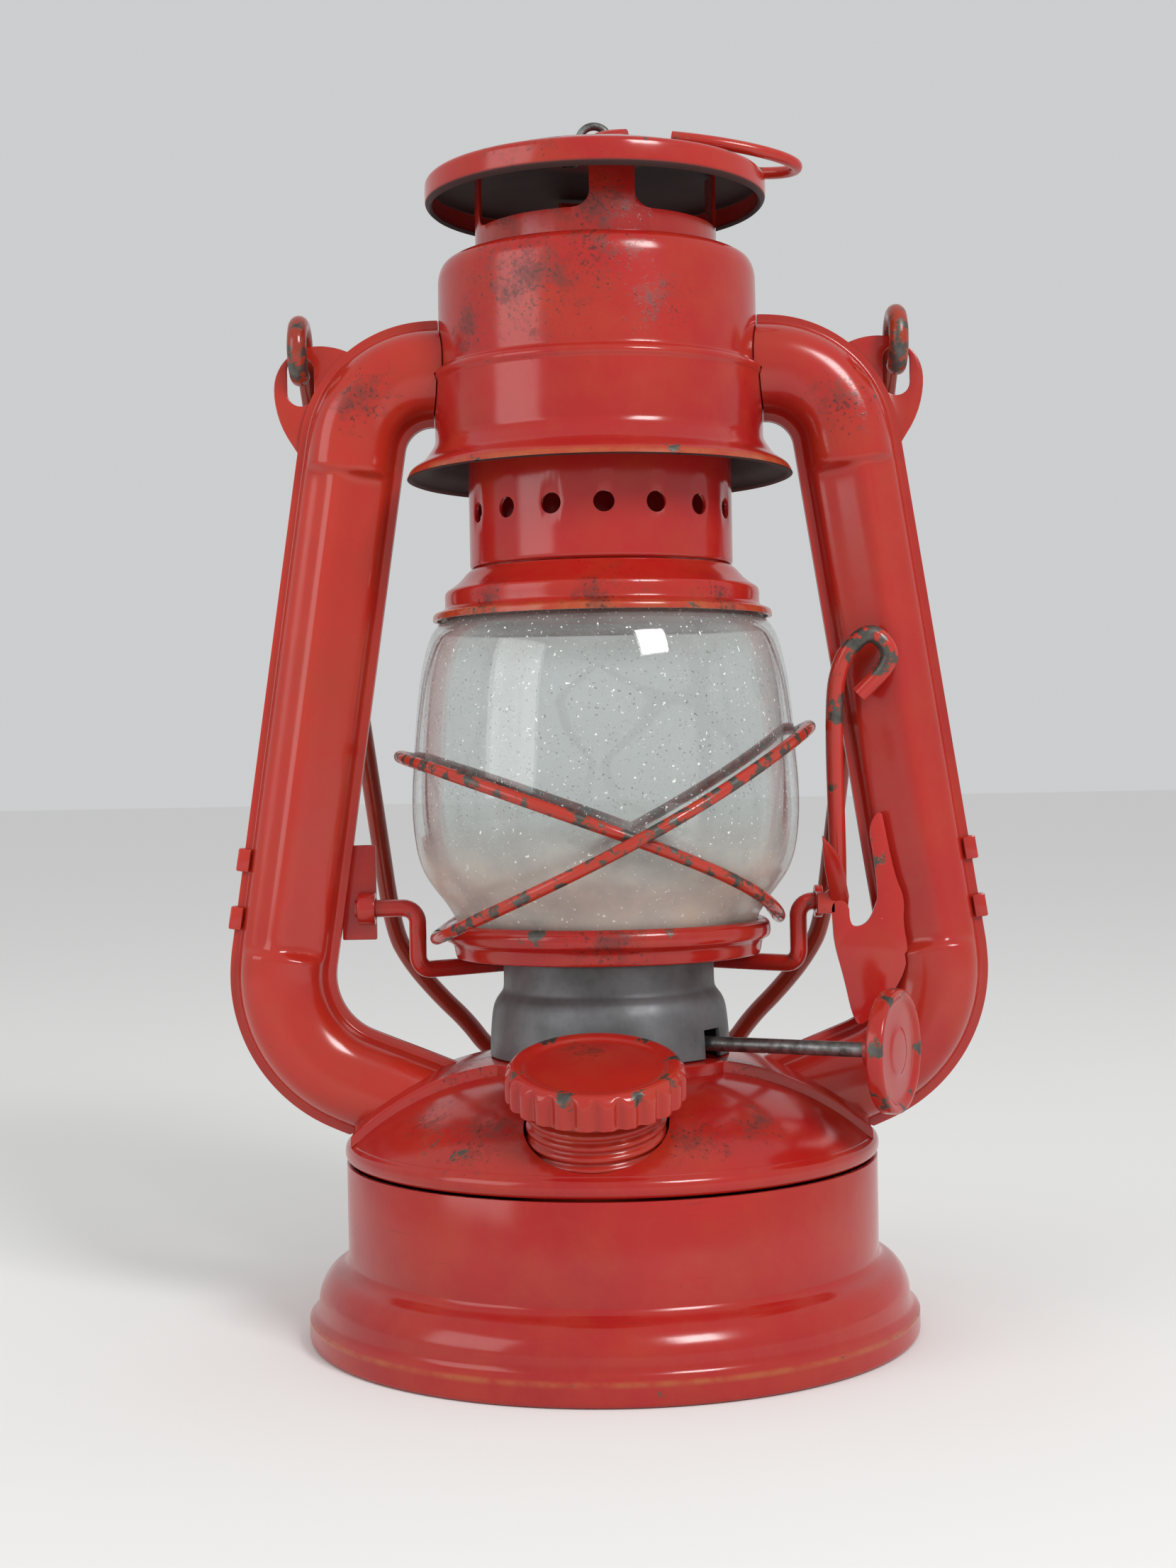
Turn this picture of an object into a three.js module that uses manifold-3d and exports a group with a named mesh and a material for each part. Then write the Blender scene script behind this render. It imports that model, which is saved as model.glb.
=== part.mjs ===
// A small hurricane lantern: pressed tinplate fount, two air tubes, canopy, lifting chimney,
// glass globe on a lifting plate, burner and bail. Millimetres, +Z up, the foot stands on z = 0,
// the lantern's axis is the Z axis and -Y is the front.
import * as THREE from "three";
import { mergeVertices } from "three/addons/utils/BufferGeometryUtils.js";
import Module from "manifold-3d";

const wasm = await Module();
wasm.setup();

// Stock and running clearances
const sheet = 0.7;
const gap = 0.3;
const overrun = 2;

// Counts of sides and steps of round forms
const sides = 24;
const wireSides = 6;
const boreSides = 16;
const knobSides = 32;
const stapleSides = 12;
const threadSides = 12;
const ventSides = 8;
const bendSteps = 6;
const cornerSteps = 4;
const hookSteps = 10;
const ringSteps = 24;
const hoopSteps = 32;
const domeSteps = 5;

// Points closer than this are one, and a mitre is never longer than its wall over this share
const weldReach = 1e-4;
const mitreShare = 0.5;

// Fount
const footRadius = 52.5;
const footHeight = 13.5;
const drumRadius = 45.7;
const drumTop = 30;
const rimRoll = 3.3;
const rimRadius = 45;
const domeRise = 12;
const domeMouth = 17;
const bottomDish = 2;

// Filler: its axis leans forward, and its origin is where the axis meets the hole's level
const fillerTilt = 15;
const fillerX = -2.4;
const fillerY = -33.8;
const fillerRise = 5.9;
const capRadius = 14.4;
const capHeight = 5.5;
const capGap = 5.7;
const capWall = 1.2;
const collarShare = 0.78;
const flutes = 24;
const fluteDepth = 0.7;
const threadRadius = 11.2;
const threadWire = 1;
const threadPitch = 1.9;
const threadTurns = 5;
const threadStart = 0.8;
const sleeveReach = 7;
const sleeveWall = 0.9;
const collarReach = 10;
const gasketThickness = 3;

// Air gallery
const galleryRise = 1.6;
const galleryHalfWidth = 11.8;
const galleryEnd = 44;
const galleryRing = 22.5;

// Burner
const housingNeckRadius = 18.2;
const housingFootRadius = 20.7;
const shaftRise = 4.3;
const shaftDiameter = 2.5;
const shaftTurn = -26;
const shaftOffset = -2.3;
const shaftInner = -9;
const knobReach = 52;
const knobRadius = 10.2;
const knobThickness = 3;
const knobSetShare = 0.4;
const wickOffset = 1.8;
const wickWidth = 10;
const wickThickness = 1.8;
const wickShort = 5.4;
const wickClear = 6;
const wickTubeWall = 0.6;
const wickTubeShort = 7.4;
const wickTubeReach = 7.9;
const wheelTeeth = 8;
const wheelRadius = 2.9;
const wheelRoot = 2.25;
const wheelThickness = 1.4;
const wheelPlace = 2.8;
const burnerWall = 0.8;
const burnerSkirt = 3.4;
const lugPlace = 6;

// Side tubes
const tubeHalfWidth = 9.2;
const tubeFlange = 1.7;
const tubeDepth = 7;
const tubeRidge = 1.1;
const tubeElbowDepth = 7.6;
const tubeElbowLip = 1.2;
const tubeHighHeight = 149;
const tubeTopHeight = 165.3;
const tubeTopStart = 26.5;
const tubeTopBend = 14;
const tubeWaistX = 43.1;
const tubeWaistHeight = 150.7;
const tubeLean = 8.63;
const tubeLowBend = 19.5;
const tubeLowRise = 18.8;
const tubeFootSlope = 22;
const tubeFootLength = 24;
const tabRises = [16.1, 6.1];
const tabHeight = 4;
const tabGrip = 1.2;

// Ears
const earHoleX = 51.6;
const earHoleHeight = 164.6;
const earSize = 6.2;
const earHoleWidth = 4.7;
const earHoleLength = 8.6;
const earThickness = 1;

// Canopy
const skirtRadius = 33.3;
const skirtBottom = 146.8;
const barrelRadius = 28.3;
const barrelBottom = 152.8;
const beadHeight = 164.2;
const beadWidth = 2.4;
const beadReach = 0.4;
const upperBarrelRadius = 27.4;
const canopyTop = 184.2;
const canopyRound = 3.3;
const canopyMouth = 21.3;

// Chimney
const chimneyRadius = 22.7;
const spigotLength = 3.5;
const shoulderRise = 2.6;
const chimneyStand = 1.8;
const chimneyShoulder = 155;
const ventRise = 9.3;
const ventDiameter = 3.5;
const ventCount = 16;
const ventTurn = -88.5;
const crownRadius = 29.3;
const crownHeight = 8.6;
const crownDrop = 4.4;
const hoodRadius = 20.8;
const hoodBottom = 160;
const hoodWall = 0.6;
const hoodStand = 2.8;
const hoodLegSink = 0.8;
const hoodLegWidth = 7.6;
const hoodLegTurn = 8;
const capRimRadius = 29.4;
const capLift = 4.6;
const capRimHeight = 5.1;
const capCrown = 4.9;

// Lift ring and its staple
const stapleWire = 1.4;
const stapleHalfWidth = 2.6;
const stapleRise = 4.2;
const stapleFoot = 5.5;
const stapleSink = 2.2;
const ringWire = 2.1;
const ringLength = 37;
const ringWidth = 20;
const ringPivotX = 0.4;
const ringDroop = 8.5;
const ringSlitTurn = -120;

// Globe and its carrier
const globeRadius = 33.5;
const globeHeight = 61.5;
const globeWall = 1.8;
const plateRise = 18.7;
const plateBore = 16;
const plateWell = 26;
const plateRimRadius = 28.2;
const plateRimRise = 6.3;
const coneRadius = 19.5;
const coneRise = 18.1;
const slotLength = 13;
const slotWidth = 4.6;
const slotDepth = 4;
const guardWire = 2.1;
const guardInnerRadius = 35.2;
const guardOuterRadius = 37.6;
const guardLowRadius = 29.6;
const guardHighRadius = 35.4;
const guardOuterSeat = 3.7;
const guardOuterRise = 35.3;
const guardInnerSeat = 6.1;
const guardInnerRise = 28.9;
const guardSlit = 4;

// Lifting crank
const crankWire = 3;
const crankRise = 10.8;
const crankArm = 33;
const crankBow = 20.4;
const crankEnd = 43.8;
const crankBend = 2.5;
const leverX = 40;
const leverRise = 45.9;
const leverForward = 9.8;
const leverHook = 8.6;
const bracketFront = 6.4;
const bracketSheet = 1;
const eyeRadius = 2.8;
const boreWall = 0.6;
const bracketLeft = 38.1;
const bracketWidth = 10.9;
const bracketDrop = 21.4;
const bracketHeight = 37.5;
const tongueShare = 0.58;
const tongueTurn = 40;
const tongueHeight = 11.1;
const pivotInner = 40.2;
const pivotOuter = 46.2;
const pivotDrop = 5.5;
const pivotRise = 11;

// Bail
const bailWire = 3.4;
const bailHook = 4.5;
const bailPivotRise = 5.2;
const bailLean = 15;
const bailHookTurn = 248;
const bailPivotY = 0.65;
const bailReach = 134.9;

// Heights that follow from what each piece stands on
const rimBottom = drumTop + gap;
const rimTop = rimBottom + rimRoll;
const domeTop = rimTop + domeRise;
const bottomHeight = sheet + gap;
const bottomTop = bottomHeight + bottomDish;
const fillerZ = rimTop + fillerRise;
const burnerDisc = domeTop + gap;
const shaftHeight = domeTop + shaftRise;
const plateHeight = domeTop + plateRise;
const plateRimTop = plateHeight + plateRimRise;
const housingTop = plateHeight - gap;
const coneTop = plateHeight + coneRise;
const wickTop = coneTop - wickShort;
const wickBottom = bottomTop + wickClear;
const wickTubeTop = coneTop - wickTubeShort;
const wickTubeBottom = burnerDisc - wickTubeReach;
const globeBottom = plateHeight + sheet + gap;
const globeTop = globeBottom + globeHeight;
const guardOuterLow = plateHeight + guardOuterSeat;
const guardInnerLow = plateHeight + guardInnerSeat;
const crownBottom = globeTop - crownDrop;
const crownTop = crownBottom + crownHeight;
const ventHeight = crownTop + ventRise;
const crankRunHeight = plateHeight - crankWire / 2 - 2 * gap;
const crankHeight = crankRunHeight + crankRise;
const bracketBottom = crankHeight - bracketDrop;
const pivotLow = crankHeight - pivotDrop;
const pivotHigh = crankHeight + pivotRise;
const chimneyTop = canopyTop + chimneyStand;
const hoodSill = chimneyTop + hoodStand;
const capRimBottom = hoodSill + capLift;
const capRimTop = capRimBottom + capRimHeight;
const hoodLegTop = capRimTop + hoodLegSink;
const stapleTop = capRimTop + capCrown + stapleRise;
const ringPivotHeight = stapleTop - stapleHalfWidth;
const bailPivotHeight = earHoleHeight + bailPivotRise;
const tubeLowHeight = domeTop + tubeLowRise;
const tabHeights = tabRises.map((rise) => tubeLowHeight + rise);

// Finishes
const enamel = { color: 0xb3201c, roughness: 0.38, metalness: 0.1 };
const worn = { color: 0x9c2a20, roughness: 0.5, metalness: 0.3 };
const galvanised = { color: 0x77797a, roughness: 0.55, metalness: 0.75 };
const steel = { color: 0x8b8d8f, roughness: 0.4, metalness: 0.9 };
const brass = { color: 0xa98b4a, roughness: 0.4, metalness: 0.9 };
const glass = { color: 0xcfd6d6, roughness: 0.08, metalness: 0, transparent: true, opacity: 0.35 };
const cork = { color: 0xa07a4e, roughness: 0.9, metalness: 0 };
const cotton = { color: 0xd8cfb8, roughness: 0.95, metalness: 0 };

const radians = THREE.MathUtils.degToRad;
const lantern = new THREE.Group();

// Closed geometry as a solid, and a solid as geometry
function solid(geometry) {
  const bare = geometry.clone();
  bare.deleteAttribute("normal");
  bare.deleteAttribute("uv");
  const merged = mergeVertices(bare, weldReach);
  const corners = Array.from(merged.index.array);
  const triangles = [];
  for (let i = 0; i < corners.length; i += 3) {
    const [a, b, c] = corners.slice(i, i + 3);
    if (a !== b && b !== c && c !== a) triangles.push(a, b, c);
  }
  const mesh = new wasm.Mesh({
    numProp: 3,
    vertProperties: merged.attributes.position.array,
    triVerts: new Uint32Array(triangles),
  });
  return new wasm.Manifold(mesh);
}

function geometryOf(body) {
  const mesh = body.getMesh();
  const geometry = new THREE.BufferGeometry();
  geometry.setAttribute("position", new THREE.BufferAttribute(mesh.vertProperties, 3));
  geometry.setIndex(new THREE.BufferAttribute(mesh.triVerts, 1));
  geometry.computeVertexNormals();
  return geometry;
}

function join(first, ...others) {
  return others.reduce((sum, other) => sum.add(other), first);
}

function cut(first, ...others) {
  return others.reduce((rest, other) => rest.subtract(other), first);
}

function place(name, body, finish, group = lantern) {
  const mesh = new THREE.Mesh(geometryOf(body), new THREE.MeshStandardMaterial(finish));
  mesh.name = name;
  group.add(mesh);
}

// Geometry turned about the Z axis from a profile of [radius, height] that runs up its outside
function lathe(profile, count = sides) {
  const points = profile.map(([radius, height]) => new THREE.Vector2(radius, height));
  return new THREE.LatheGeometry(points, count).rotateX(Math.PI / 2);
}

function turned(profile, count = sides) {
  return solid(lathe(profile, count));
}

function disc(radius, low, high, count = sides) {
  return lathe([[0, low], [radius, low], [radius, high], [0, high]], count);
}

function ring(outer, inner, low, high, count = sides) {
  return lathe([[inner, low], [outer, low], [outer, high], [inner, high], [inner, low]], count);
}

// A line moved to its left by a distance, mitred at its corners
function shift(line, distance) {
  const sideOf = (a, b) => new THREE.Vector2(a[1] - b[1], b[0] - a[0]).normalize();
  return line.map((point, i) => {
    const arriving = i > 0 ? sideOf(line[i - 1], point) : sideOf(point, line[i + 1]);
    const leaving = i < line.length - 1 ? sideOf(point, line[i + 1]) : arriving;
    const middle = arriving.clone().add(leaving).normalize();
    const step = distance / Math.max(middle.dot(arriving), mitreShare);
    return [point[0] + middle.x * step, point[1] + middle.y * step];
  });
}

// A profile moved to its left, whose points stay on the axis or clear of its far side
function offset(line, distance) {
  return shift(line, distance).map(([radius, height], i) => {
    const onAxis = line[i][0] === 0;
    return [onAxis ? 0 : Math.max(radius, 0), height];
  });
}

// A pressed shell of one thickness inside a line that runs up it and ends on the axis or short of it
function shell(line, wall = sheet, count = sides) {
  const inner = offset(line, wall).reverse();
  const closesOnAxis = line[line.length - 1][0] === 0;
  return turned(closesOnAxis ? [...inner, ...line] : [...line, ...inner, line[0]], count);
}

// Shares of a radius step and of a height step as points
function spread(shares, innerRadius, outerRadius, low, high) {
  const reach = outerRadius - innerRadius;
  return shares.map(([out, up]) => [innerRadius + out * reach, low + up * (high - low)]);
}

function placed(geometry, matrix) {
  return solid(geometry.applyMatrix4(matrix));
}

function block(x, y, z) {
  const size = [x, y, z].map(([low, high]) => high - low);
  const middle = [x, y, z].map(([low, high]) => (low + high) / 2);
  return new THREE.BoxGeometry(...size).translate(...middle);
}

// A flat plate in the XZ plane, from a shape drawn in X and Z, whose front face is at Y = front
function plateAt(shape, thickness, front) {
  const options = { depth: thickness, bevelEnabled: false, curveSegments: bendSteps };
  const geometry = new THREE.ExtrudeGeometry(shape, options);
  return geometry.rotateX(Math.PI / 2).translate(0, front + thickness, 0);
}

function outline(points) {
  return new THREE.Shape(points.map(([x, y]) => new THREE.Vector2(x, y)));
}

// A path through its nodes, with one step of a sweep to each
class NodePath extends THREE.Curve {
  constructor(nodes) {
    super();
    this.nodes = nodes;
  }

  getUtoTmapping(u) {
    return u;
  }

  getPoint(t) {
    const along = t * (this.nodes.length - 1);
    const i = Math.min(Math.floor(along), this.nodes.length - 2);
    return this.nodes[i].clone().lerp(this.nodes[i + 1], along - i);
  }

  getTangent(t) {
    const last = this.nodes.length - 1;
    const i = Math.round(t * last);
    const headingOf = (k) => this.nodes[k + 1].clone().sub(this.nodes[k]).normalize();
    const arriving = headingOf(Math.max(i - 1, 0));
    const leaving = headingOf(Math.min(i, last - 1));
    return arriving.add(leaving).normalize();
  }
}

function sweep(shape, nodes, curveSegments = cornerSteps) {
  const extrudePath = new NodePath(nodes);
  const options = { steps: nodes.length - 1, extrudePath, bevelEnabled: false, curveSegments };
  return new THREE.ExtrudeGeometry(shape, options);
}

function wire(nodes, diameter) {
  const section = new THREE.Shape().absarc(0, 0, diameter / 2, 0, 2 * Math.PI);
  return solid(sweep(section, nodes, wireSides / 2));
}

// Nodes along a bent wire: each corner is [x, y, z, bend radius], or is a plain node with no radius
function bent(corners, steps = cornerSteps) {
  const places = corners.map(([x, y, z]) => new THREE.Vector3(x, y, z));
  return corners.flatMap((corner, i) => {
    const radius = corner[3];
    if (!radius || i === 0 || i === corners.length - 1) return [places[i]];
    const arriving = places[i].clone().sub(places[i - 1]).normalize();
    const leaving = places[i + 1].clone().sub(places[i]).normalize();
    const turn = arriving.angleTo(leaving);
    const start = places[i].clone().addScaledVector(arriving, -radius * Math.tan(turn / 2));
    const inward = leaving.addScaledVector(arriving, -arriving.dot(leaving)).normalize();
    return Array.from({ length: steps + 1 }, (_, k) => {
      const angle = (turn * k) / steps;
      const forward = radius * Math.sin(angle);
      const across = radius * (1 - Math.cos(angle));
      return start.clone().addScaledVector(arriving, forward).addScaledVector(inward, across);
    });
  });
}

// Fount: drum with its flared foot, domed top with a rolled rim, and a bottom plate inside the foot
const footShares = [
  [0.62, 0], [0.9, 0], [1, 0.08], [1, 0.27], [0.8, 0.36], [0.74, 0.6], [0.42, 0.84], [0, 1],
];
const footLine = spread(footShares, drumRadius, footRadius, 0, footHeight);
place("fount_drum", shell([...footLine, [drumRadius, drumTop]]), enamel);

const rollShares = [[1, 0], [1.3, 0.3], [1, 0.7]];
const domePower = 0.9;

function domeHeight(radius) {
  const out = (radius - domeMouth) / (rimRadius - domeMouth);
  return rimTop + domeRise * (1 - out * out) ** domePower;
}

const domeLine = spread(rollShares, rimRadius, drumRadius, rimBottom, rimTop);
for (let i = 0; i <= domeSteps; i++) {
  const radius = domeMouth + (rimRadius - domeMouth) * Math.cos((i * Math.PI) / 2 / domeSteps);
  domeLine.push([radius, domeHeight(radius)]);
}

// All that lies under the dome's outer face moved out by a distance
function underDome(distance) {
  const line = offset([...domeLine, [0, domeTop]], -distance);
  return turned([[0, 0], [line[0][0], 0], ...line]);
}

const fillerPlace = new THREE.Matrix4()
  .makeTranslation(fillerX, fillerY, fillerZ)
  .multiply(new THREE.Matrix4().makeRotationX(radians(fillerTilt)));
const fillerHoleRadius = threadRadius + gap;
const fillerHole = placed(disc(fillerHoleRadius, -collarReach - overrun, capGap), fillerPlace);
place("fount_dome", cut(shell(domeLine), fillerHole), enamel);

const bottomRadius = footRadius - sheet - 2 * gap;
const bottomShares = [[0, 1], [0.9, 1], [0.96, 0], [1, 0]];
const bottomLine = spread(bottomShares, 0, bottomRadius, bottomHeight, bottomTop);
const bottomOver = bottomLine.map(([radius, height]) => [radius, height + sheet]).reverse();
place("fount_bottom", turned([...bottomLine, ...bottomOver]), worn);

// Filler: a collar below the hole, and a fluted cap drawn half out on its threaded sleeve
const collarTop = capGap * collarShare;
const collarForm = ring(fillerHoleRadius + sheet, fillerHoleRadius, -collarReach, collarTop);
place("filler_collar", placed(collarForm, fillerPlace).intersect(underDome(-sheet - gap)), worn);

function flutedCircle(radius, depth) {
  const points = Array.from({ length: 2 * flutes }, (_, i) => {
    const angle = (i * Math.PI) / flutes;
    const reach = i % 2 === 0 ? radius : radius - depth;
    return [reach * Math.cos(angle), reach * Math.sin(angle)];
  });
  return outline(points);
}

const headTop = capGap + capHeight;
const headShares = [[0, 0], [1, 0], [1, 0.72], [0.9, 1], [0.78, 0.97], [0.75, 0.88], [0, 0.88]];
const headForm = placed(lathe(spread(headShares, 0, capRadius, capGap, headTop)), fillerPlace);
const fluteOptions = { depth: capHeight + overrun, bevelEnabled: false };
const fluteBlank = new THREE.ExtrudeGeometry(flutedCircle(capRadius, fluteDepth), fluteOptions);
const flutedForm = placed(fluteBlank.translate(0, 0, capGap - overrun / 2), fillerPlace);
const skinBottom = headTop - 2 * sheet;
const hollow = placed(disc(capRadius - capWall, capGap - overrun, skinBottom), fillerPlace);
place("filler_cap_head", cut(headForm.intersect(flutedForm), hollow), enamel);

const sleeveRadius = threadRadius - threadWire / 2;
const sleeveTop = skinBottom - gap;
const threadNodes = Array.from({ length: threadTurns * threadSides + 1 }, (_, i) => {
  const angle = (i * 2 * Math.PI) / threadSides;
  const height = threadStart - sleeveReach + (threadPitch * i) / threadSides;
  return new THREE.Vector3(sleeveRadius * Math.cos(angle), sleeveRadius * Math.sin(angle), height);
});
const threadShape = new THREE.Shape().absarc(0, 0, threadWire / 2, 0, 2 * Math.PI);
const threadForm = placed(sweep(threadShape, threadNodes, 2), fillerPlace);
const sleeveForm = ring(sleeveRadius, sleeveRadius - sleeveWall, -sleeveReach, sleeveTop, threadSides);
place("filler_cap_sleeve", join(placed(sleeveForm, fillerPlace), threadForm), worn);
const gasketBottom = sleeveTop - gasketThickness;
const gasketForm = ring(capRadius - capWall - gap, fillerHoleRadius, gasketBottom, sleeveTop);
place("filler_gasket", placed(gasketForm, fillerPlace), cork);

// Air gallery: a shallow tray upside down across the dome, with a ring round its mouth
const overAll = domeTop + galleryRise + overrun;

function galleryForm(rise, spare) {
  const reach = galleryEnd + spare;
  const halfWidth = galleryHalfWidth + spare;
  const bar = solid(block([-reach, reach], [-halfWidth, halfWidth], [rimBottom, overAll]));
  const middle = solid(disc(galleryRing + spare, rimBottom, overAll));
  return underDome(rise).intersect(join(bar, middle));
}

const galleryOuter = galleryForm(gap + galleryRise, 0);
const galleryInner = galleryForm(gap + galleryRise - sheet, -sheet);
const galleryEnvelope = galleryForm(galleryRise + 2 * gap, gap);
const galleryHole = solid(disc(domeMouth, 0, overAll));

// Burner: collar in the fount's mouth, base with two shaft bearings, housing, and the cone above it
const burnerPlace = new THREE.Matrix4().makeRotationZ(radians(shaftTurn));
const shaftPlace = burnerPlace
  .clone()
  .multiply(new THREE.Matrix4().makeTranslation(0, shaftOffset, shaftHeight))
  .multiply(new THREE.Matrix4().makeRotationY(Math.PI / 2));
const collarRadius = domeMouth - gap;
const skirtOuter = collarRadius - 2 * sheet - gap;
const burnerSkirtBottom = burnerDisc - burnerSkirt;
const burnerCollar = ring(collarRadius, collarRadius - 2 * sheet, burnerSkirtBottom, burnerDisc - gap);
place("burner_collar", solid(burnerCollar), brass);

const tubeInner = [wickWidth / 2 + gap, wickThickness / 2 + gap];
const tubeOuter = tubeInner.map((half) => half + wickTubeWall);

function wickBlock([halfLength, halfThickness], low, high) {
  const across = [wickOffset - halfThickness, wickOffset + halfThickness];
  return placed(block([-halfLength, halfLength], across, [low, high]), burnerPlace);
}

const bearingRadius = shaftDiameter / 2 + gap;
const bearingForm = disc(bearingRadius, shaftInner - overrun, housingFootRadius, boreSides);
const bearingBore = placed(bearingForm, shaftPlace);
const lugTop = shaftHeight + bearingRadius + burnerWall;
const lugs = [-lugPlace, lugPlace].map((along) =>
  placed(
    block(
      [along - burnerWall / 2, along + burnerWall / 2],
      [shaftOffset - bearingRadius - burnerWall, shaftOffset + bearingRadius - gap],
      [burnerDisc, lugTop]
    ),
    burnerPlace
  )
);
const baseTop = burnerDisc + burnerWall;
const baseDisc = solid(disc(collarRadius - gap, burnerDisc, baseTop));
const baseSkirt = solid(ring(skirtOuter, skirtOuter - burnerWall, burnerSkirtBottom, baseTop));
const wickHoleHalves = tubeOuter.map((half) => half + gap);
const wickHole = wickBlock(wickHoleHalves, burnerSkirtBottom, burnerDisc + 2 * burnerWall);
place("burner_base", cut(join(baseDisc, baseSkirt, ...lugs), wickHole, bearingBore), brass);

const housingBottom = domeHeight(housingFootRadius) + galleryRise + 2 * gap;
const housingShares = [[1, 0], [0.8, 0.5], [0.3, 0.63], [0, 0.7], [0, 1]];
const housingLine = spread(housingShares, housingNeckRadius, housingFootRadius, housingBottom, housingTop);
housingLine.push([plateBore, housingTop]);
const notchOut = [housingNeckRadius - 2 * overrun, housingFootRadius + overrun];
const notchAcross = [shaftOffset - shaftDiameter, shaftOffset + shaftDiameter];
const notch = placed(block(notchOut, notchAcross, [0, shaftHeight + shaftDiameter]), burnerPlace);
place("burner_housing", cut(shell(housingLine), notch), galvanised);

const coneBottom = plateHeight + sheet + gap;
const coneShares = [[1, 0], [0.97, 0.42], [0.82, 0.69], [0.62, 0.86], [0.31, 0.97], [0, 1]];
const coneShell = shell(spread(coneShares, 0, coneRadius, coneBottom, coneTop));
const flameSlot = wickBlock([slotLength / 2, slotWidth / 2], coneTop - slotDepth, coneTop + overrun);
place("burner_cone", cut(coneShell, flameSlot), brass);

// Wick, its tube with a window for the wheels, and the wheels on their shaft with the knob
const windowHalf = wheelPlace + wheelThickness / 2 + gap;
const windowUp = [shaftHeight - wheelRadius, shaftHeight + wheelRadius];
const windowForm = block([-windowHalf, windowHalf], [shaftOffset, wickOffset], windowUp);
const wickTubeForm = wickBlock(tubeOuter, wickTubeBottom, wickTubeTop);
const wickSpace = wickBlock(tubeInner, 0, wickTop);
place("wick_tube", cut(wickTubeForm, wickSpace, placed(windowForm, burnerPlace)), brass);
place("wick", wickBlock([wickWidth / 2, wickThickness / 2], wickBottom, wickTop), cotton);
place("wick_shaft", placed(disc(shaftDiameter / 2, shaftInner, knobReach, boreSides), shaftPlace), steel);

const wheelPoints = Array.from({ length: 4 * wheelTeeth }, (_, i) => {
  const radius = i % 4 < 2 ? wheelRadius : wheelRoot;
  const angle = ((2 * i + 1) * Math.PI) / 4 / wheelTeeth;
  return [radius * Math.cos(angle), radius * Math.sin(angle)];
});
const wheelOptions = { depth: wheelThickness, bevelEnabled: false };
const wheelBlank = new THREE.ExtrudeGeometry(outline(wheelPoints), wheelOptions);
for (const [name, along] of [["wick_wheel_left", -wheelPlace], ["wick_wheel_right", wheelPlace]]) {
  const blank = wheelBlank.clone().translate(0, 0, along - wheelThickness / 2);
  place(name, cut(placed(blank, shaftPlace), bearingBore), steel);
}

const knobBore = shaftDiameter / 2 + gap;
const knobBack = knobReach - knobThickness * knobSetShare;
const knobShares = [
  [0.27, -1], [0.27, 0.15], [0.88, 0.13], [0.93, 0], [1, 0.17],
  [1, 0.83], [0.94, 1], [0.86, 0.9], [0.8, 0.73], [0, 0.7],
];
const knobLine = spread(knobShares, 0, knobRadius, knobBack, knobBack + knobThickness);
const knobFloor = knobReach + gap;
const knobProfile = [[0, knobFloor], [knobBore, knobFloor], [knobBore, knobLine[0][1]], ...knobLine];
place("wick_knob", placed(lathe(knobProfile, knobSides), shaftPlace), enamel);

// Canopy with its flared skirt, bead and rounded top
const skirtShares = [[1, 0], [0.92, 0.23], [0.8, 0.35], [0.37, 0.68], [0, 1]];
const canopyShares = [[1, 0], [0.88, 0.58], [0.6, 0.94], [0, 1]];
const canopyLine = [
  ...spread(skirtShares, barrelRadius, skirtRadius, skirtBottom, barrelBottom),
  [barrelRadius, beadHeight - beadWidth / 2],
  [barrelRadius + beadReach, beadHeight],
  [upperBarrelRadius, beadHeight + beadWidth / 2],
  ...spread(canopyShares, canopyMouth, upperBarrelRadius, canopyTop - canopyRound, canopyTop),
];
const canopyOver = offset([...canopyLine, [0, canopyTop]], -gap);
const canopyEnvelope = turned([[0, canopyOver[0][1]], ...canopyOver]);
const canopyShell = shell(canopyLine);

// Side tubes: each a front and a rear pressing with flanges, on a centreline from foot to canopy
const lean = radians(tubeLean);
const topCentreHeight = tubeTopHeight - tubeTopBend;
const topCentreX = straightX(topCentreHeight) - tubeTopBend / Math.cos(lean);
const lowCentreHeight = tubeLowHeight - tubeLowBend * Math.sin(lean);
const lowCentreX = straightX(lowCentreHeight) - tubeLowBend / Math.cos(lean);

function straightX(height) {
  return tubeWaistX + (tubeWaistHeight - height) * Math.tan(radians(tubeLean));
}

function straightNode(side, height) {
  return new THREE.Vector3(side * straightX(height), 0, height);
}

function bendNodes(side, centreX, centreHeight, radius, from, to) {
  return Array.from({ length: bendSteps + 1 }, (_, i) => {
    const angle = from + ((to - from) * i) / bendSteps;
    const reach = centreX + radius * Math.sin(angle);
    return new THREE.Vector3(side * reach, 0, centreHeight + radius * Math.cos(angle));
  });
}

function footNodes(side) {
  const slope = radians(tubeFootSlope);
  const bend = bendNodes(side, lowCentreX, lowCentreHeight, tubeLowBend, Math.PI - slope, Math.PI / 2 - lean);
  const inward = new THREE.Vector3(-side * Math.cos(slope), 0, -Math.sin(slope));
  const foot = bend[0].clone().addScaledVector(inward, tubeFootLength);
  return [foot, ...bend, straightNode(side, tubeLowHeight + tubeElbowLip)];
}

function headNodes(side) {
  const bend = bendNodes(side, topCentreX, topCentreHeight, tubeTopBend, Math.PI / 2 - lean, 0);
  const end = new THREE.Vector3(side * tubeTopStart, 0, tubeTopHeight);
  return [straightNode(side, tubeHighHeight - tubeElbowLip), ...bend, end];
}

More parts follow.
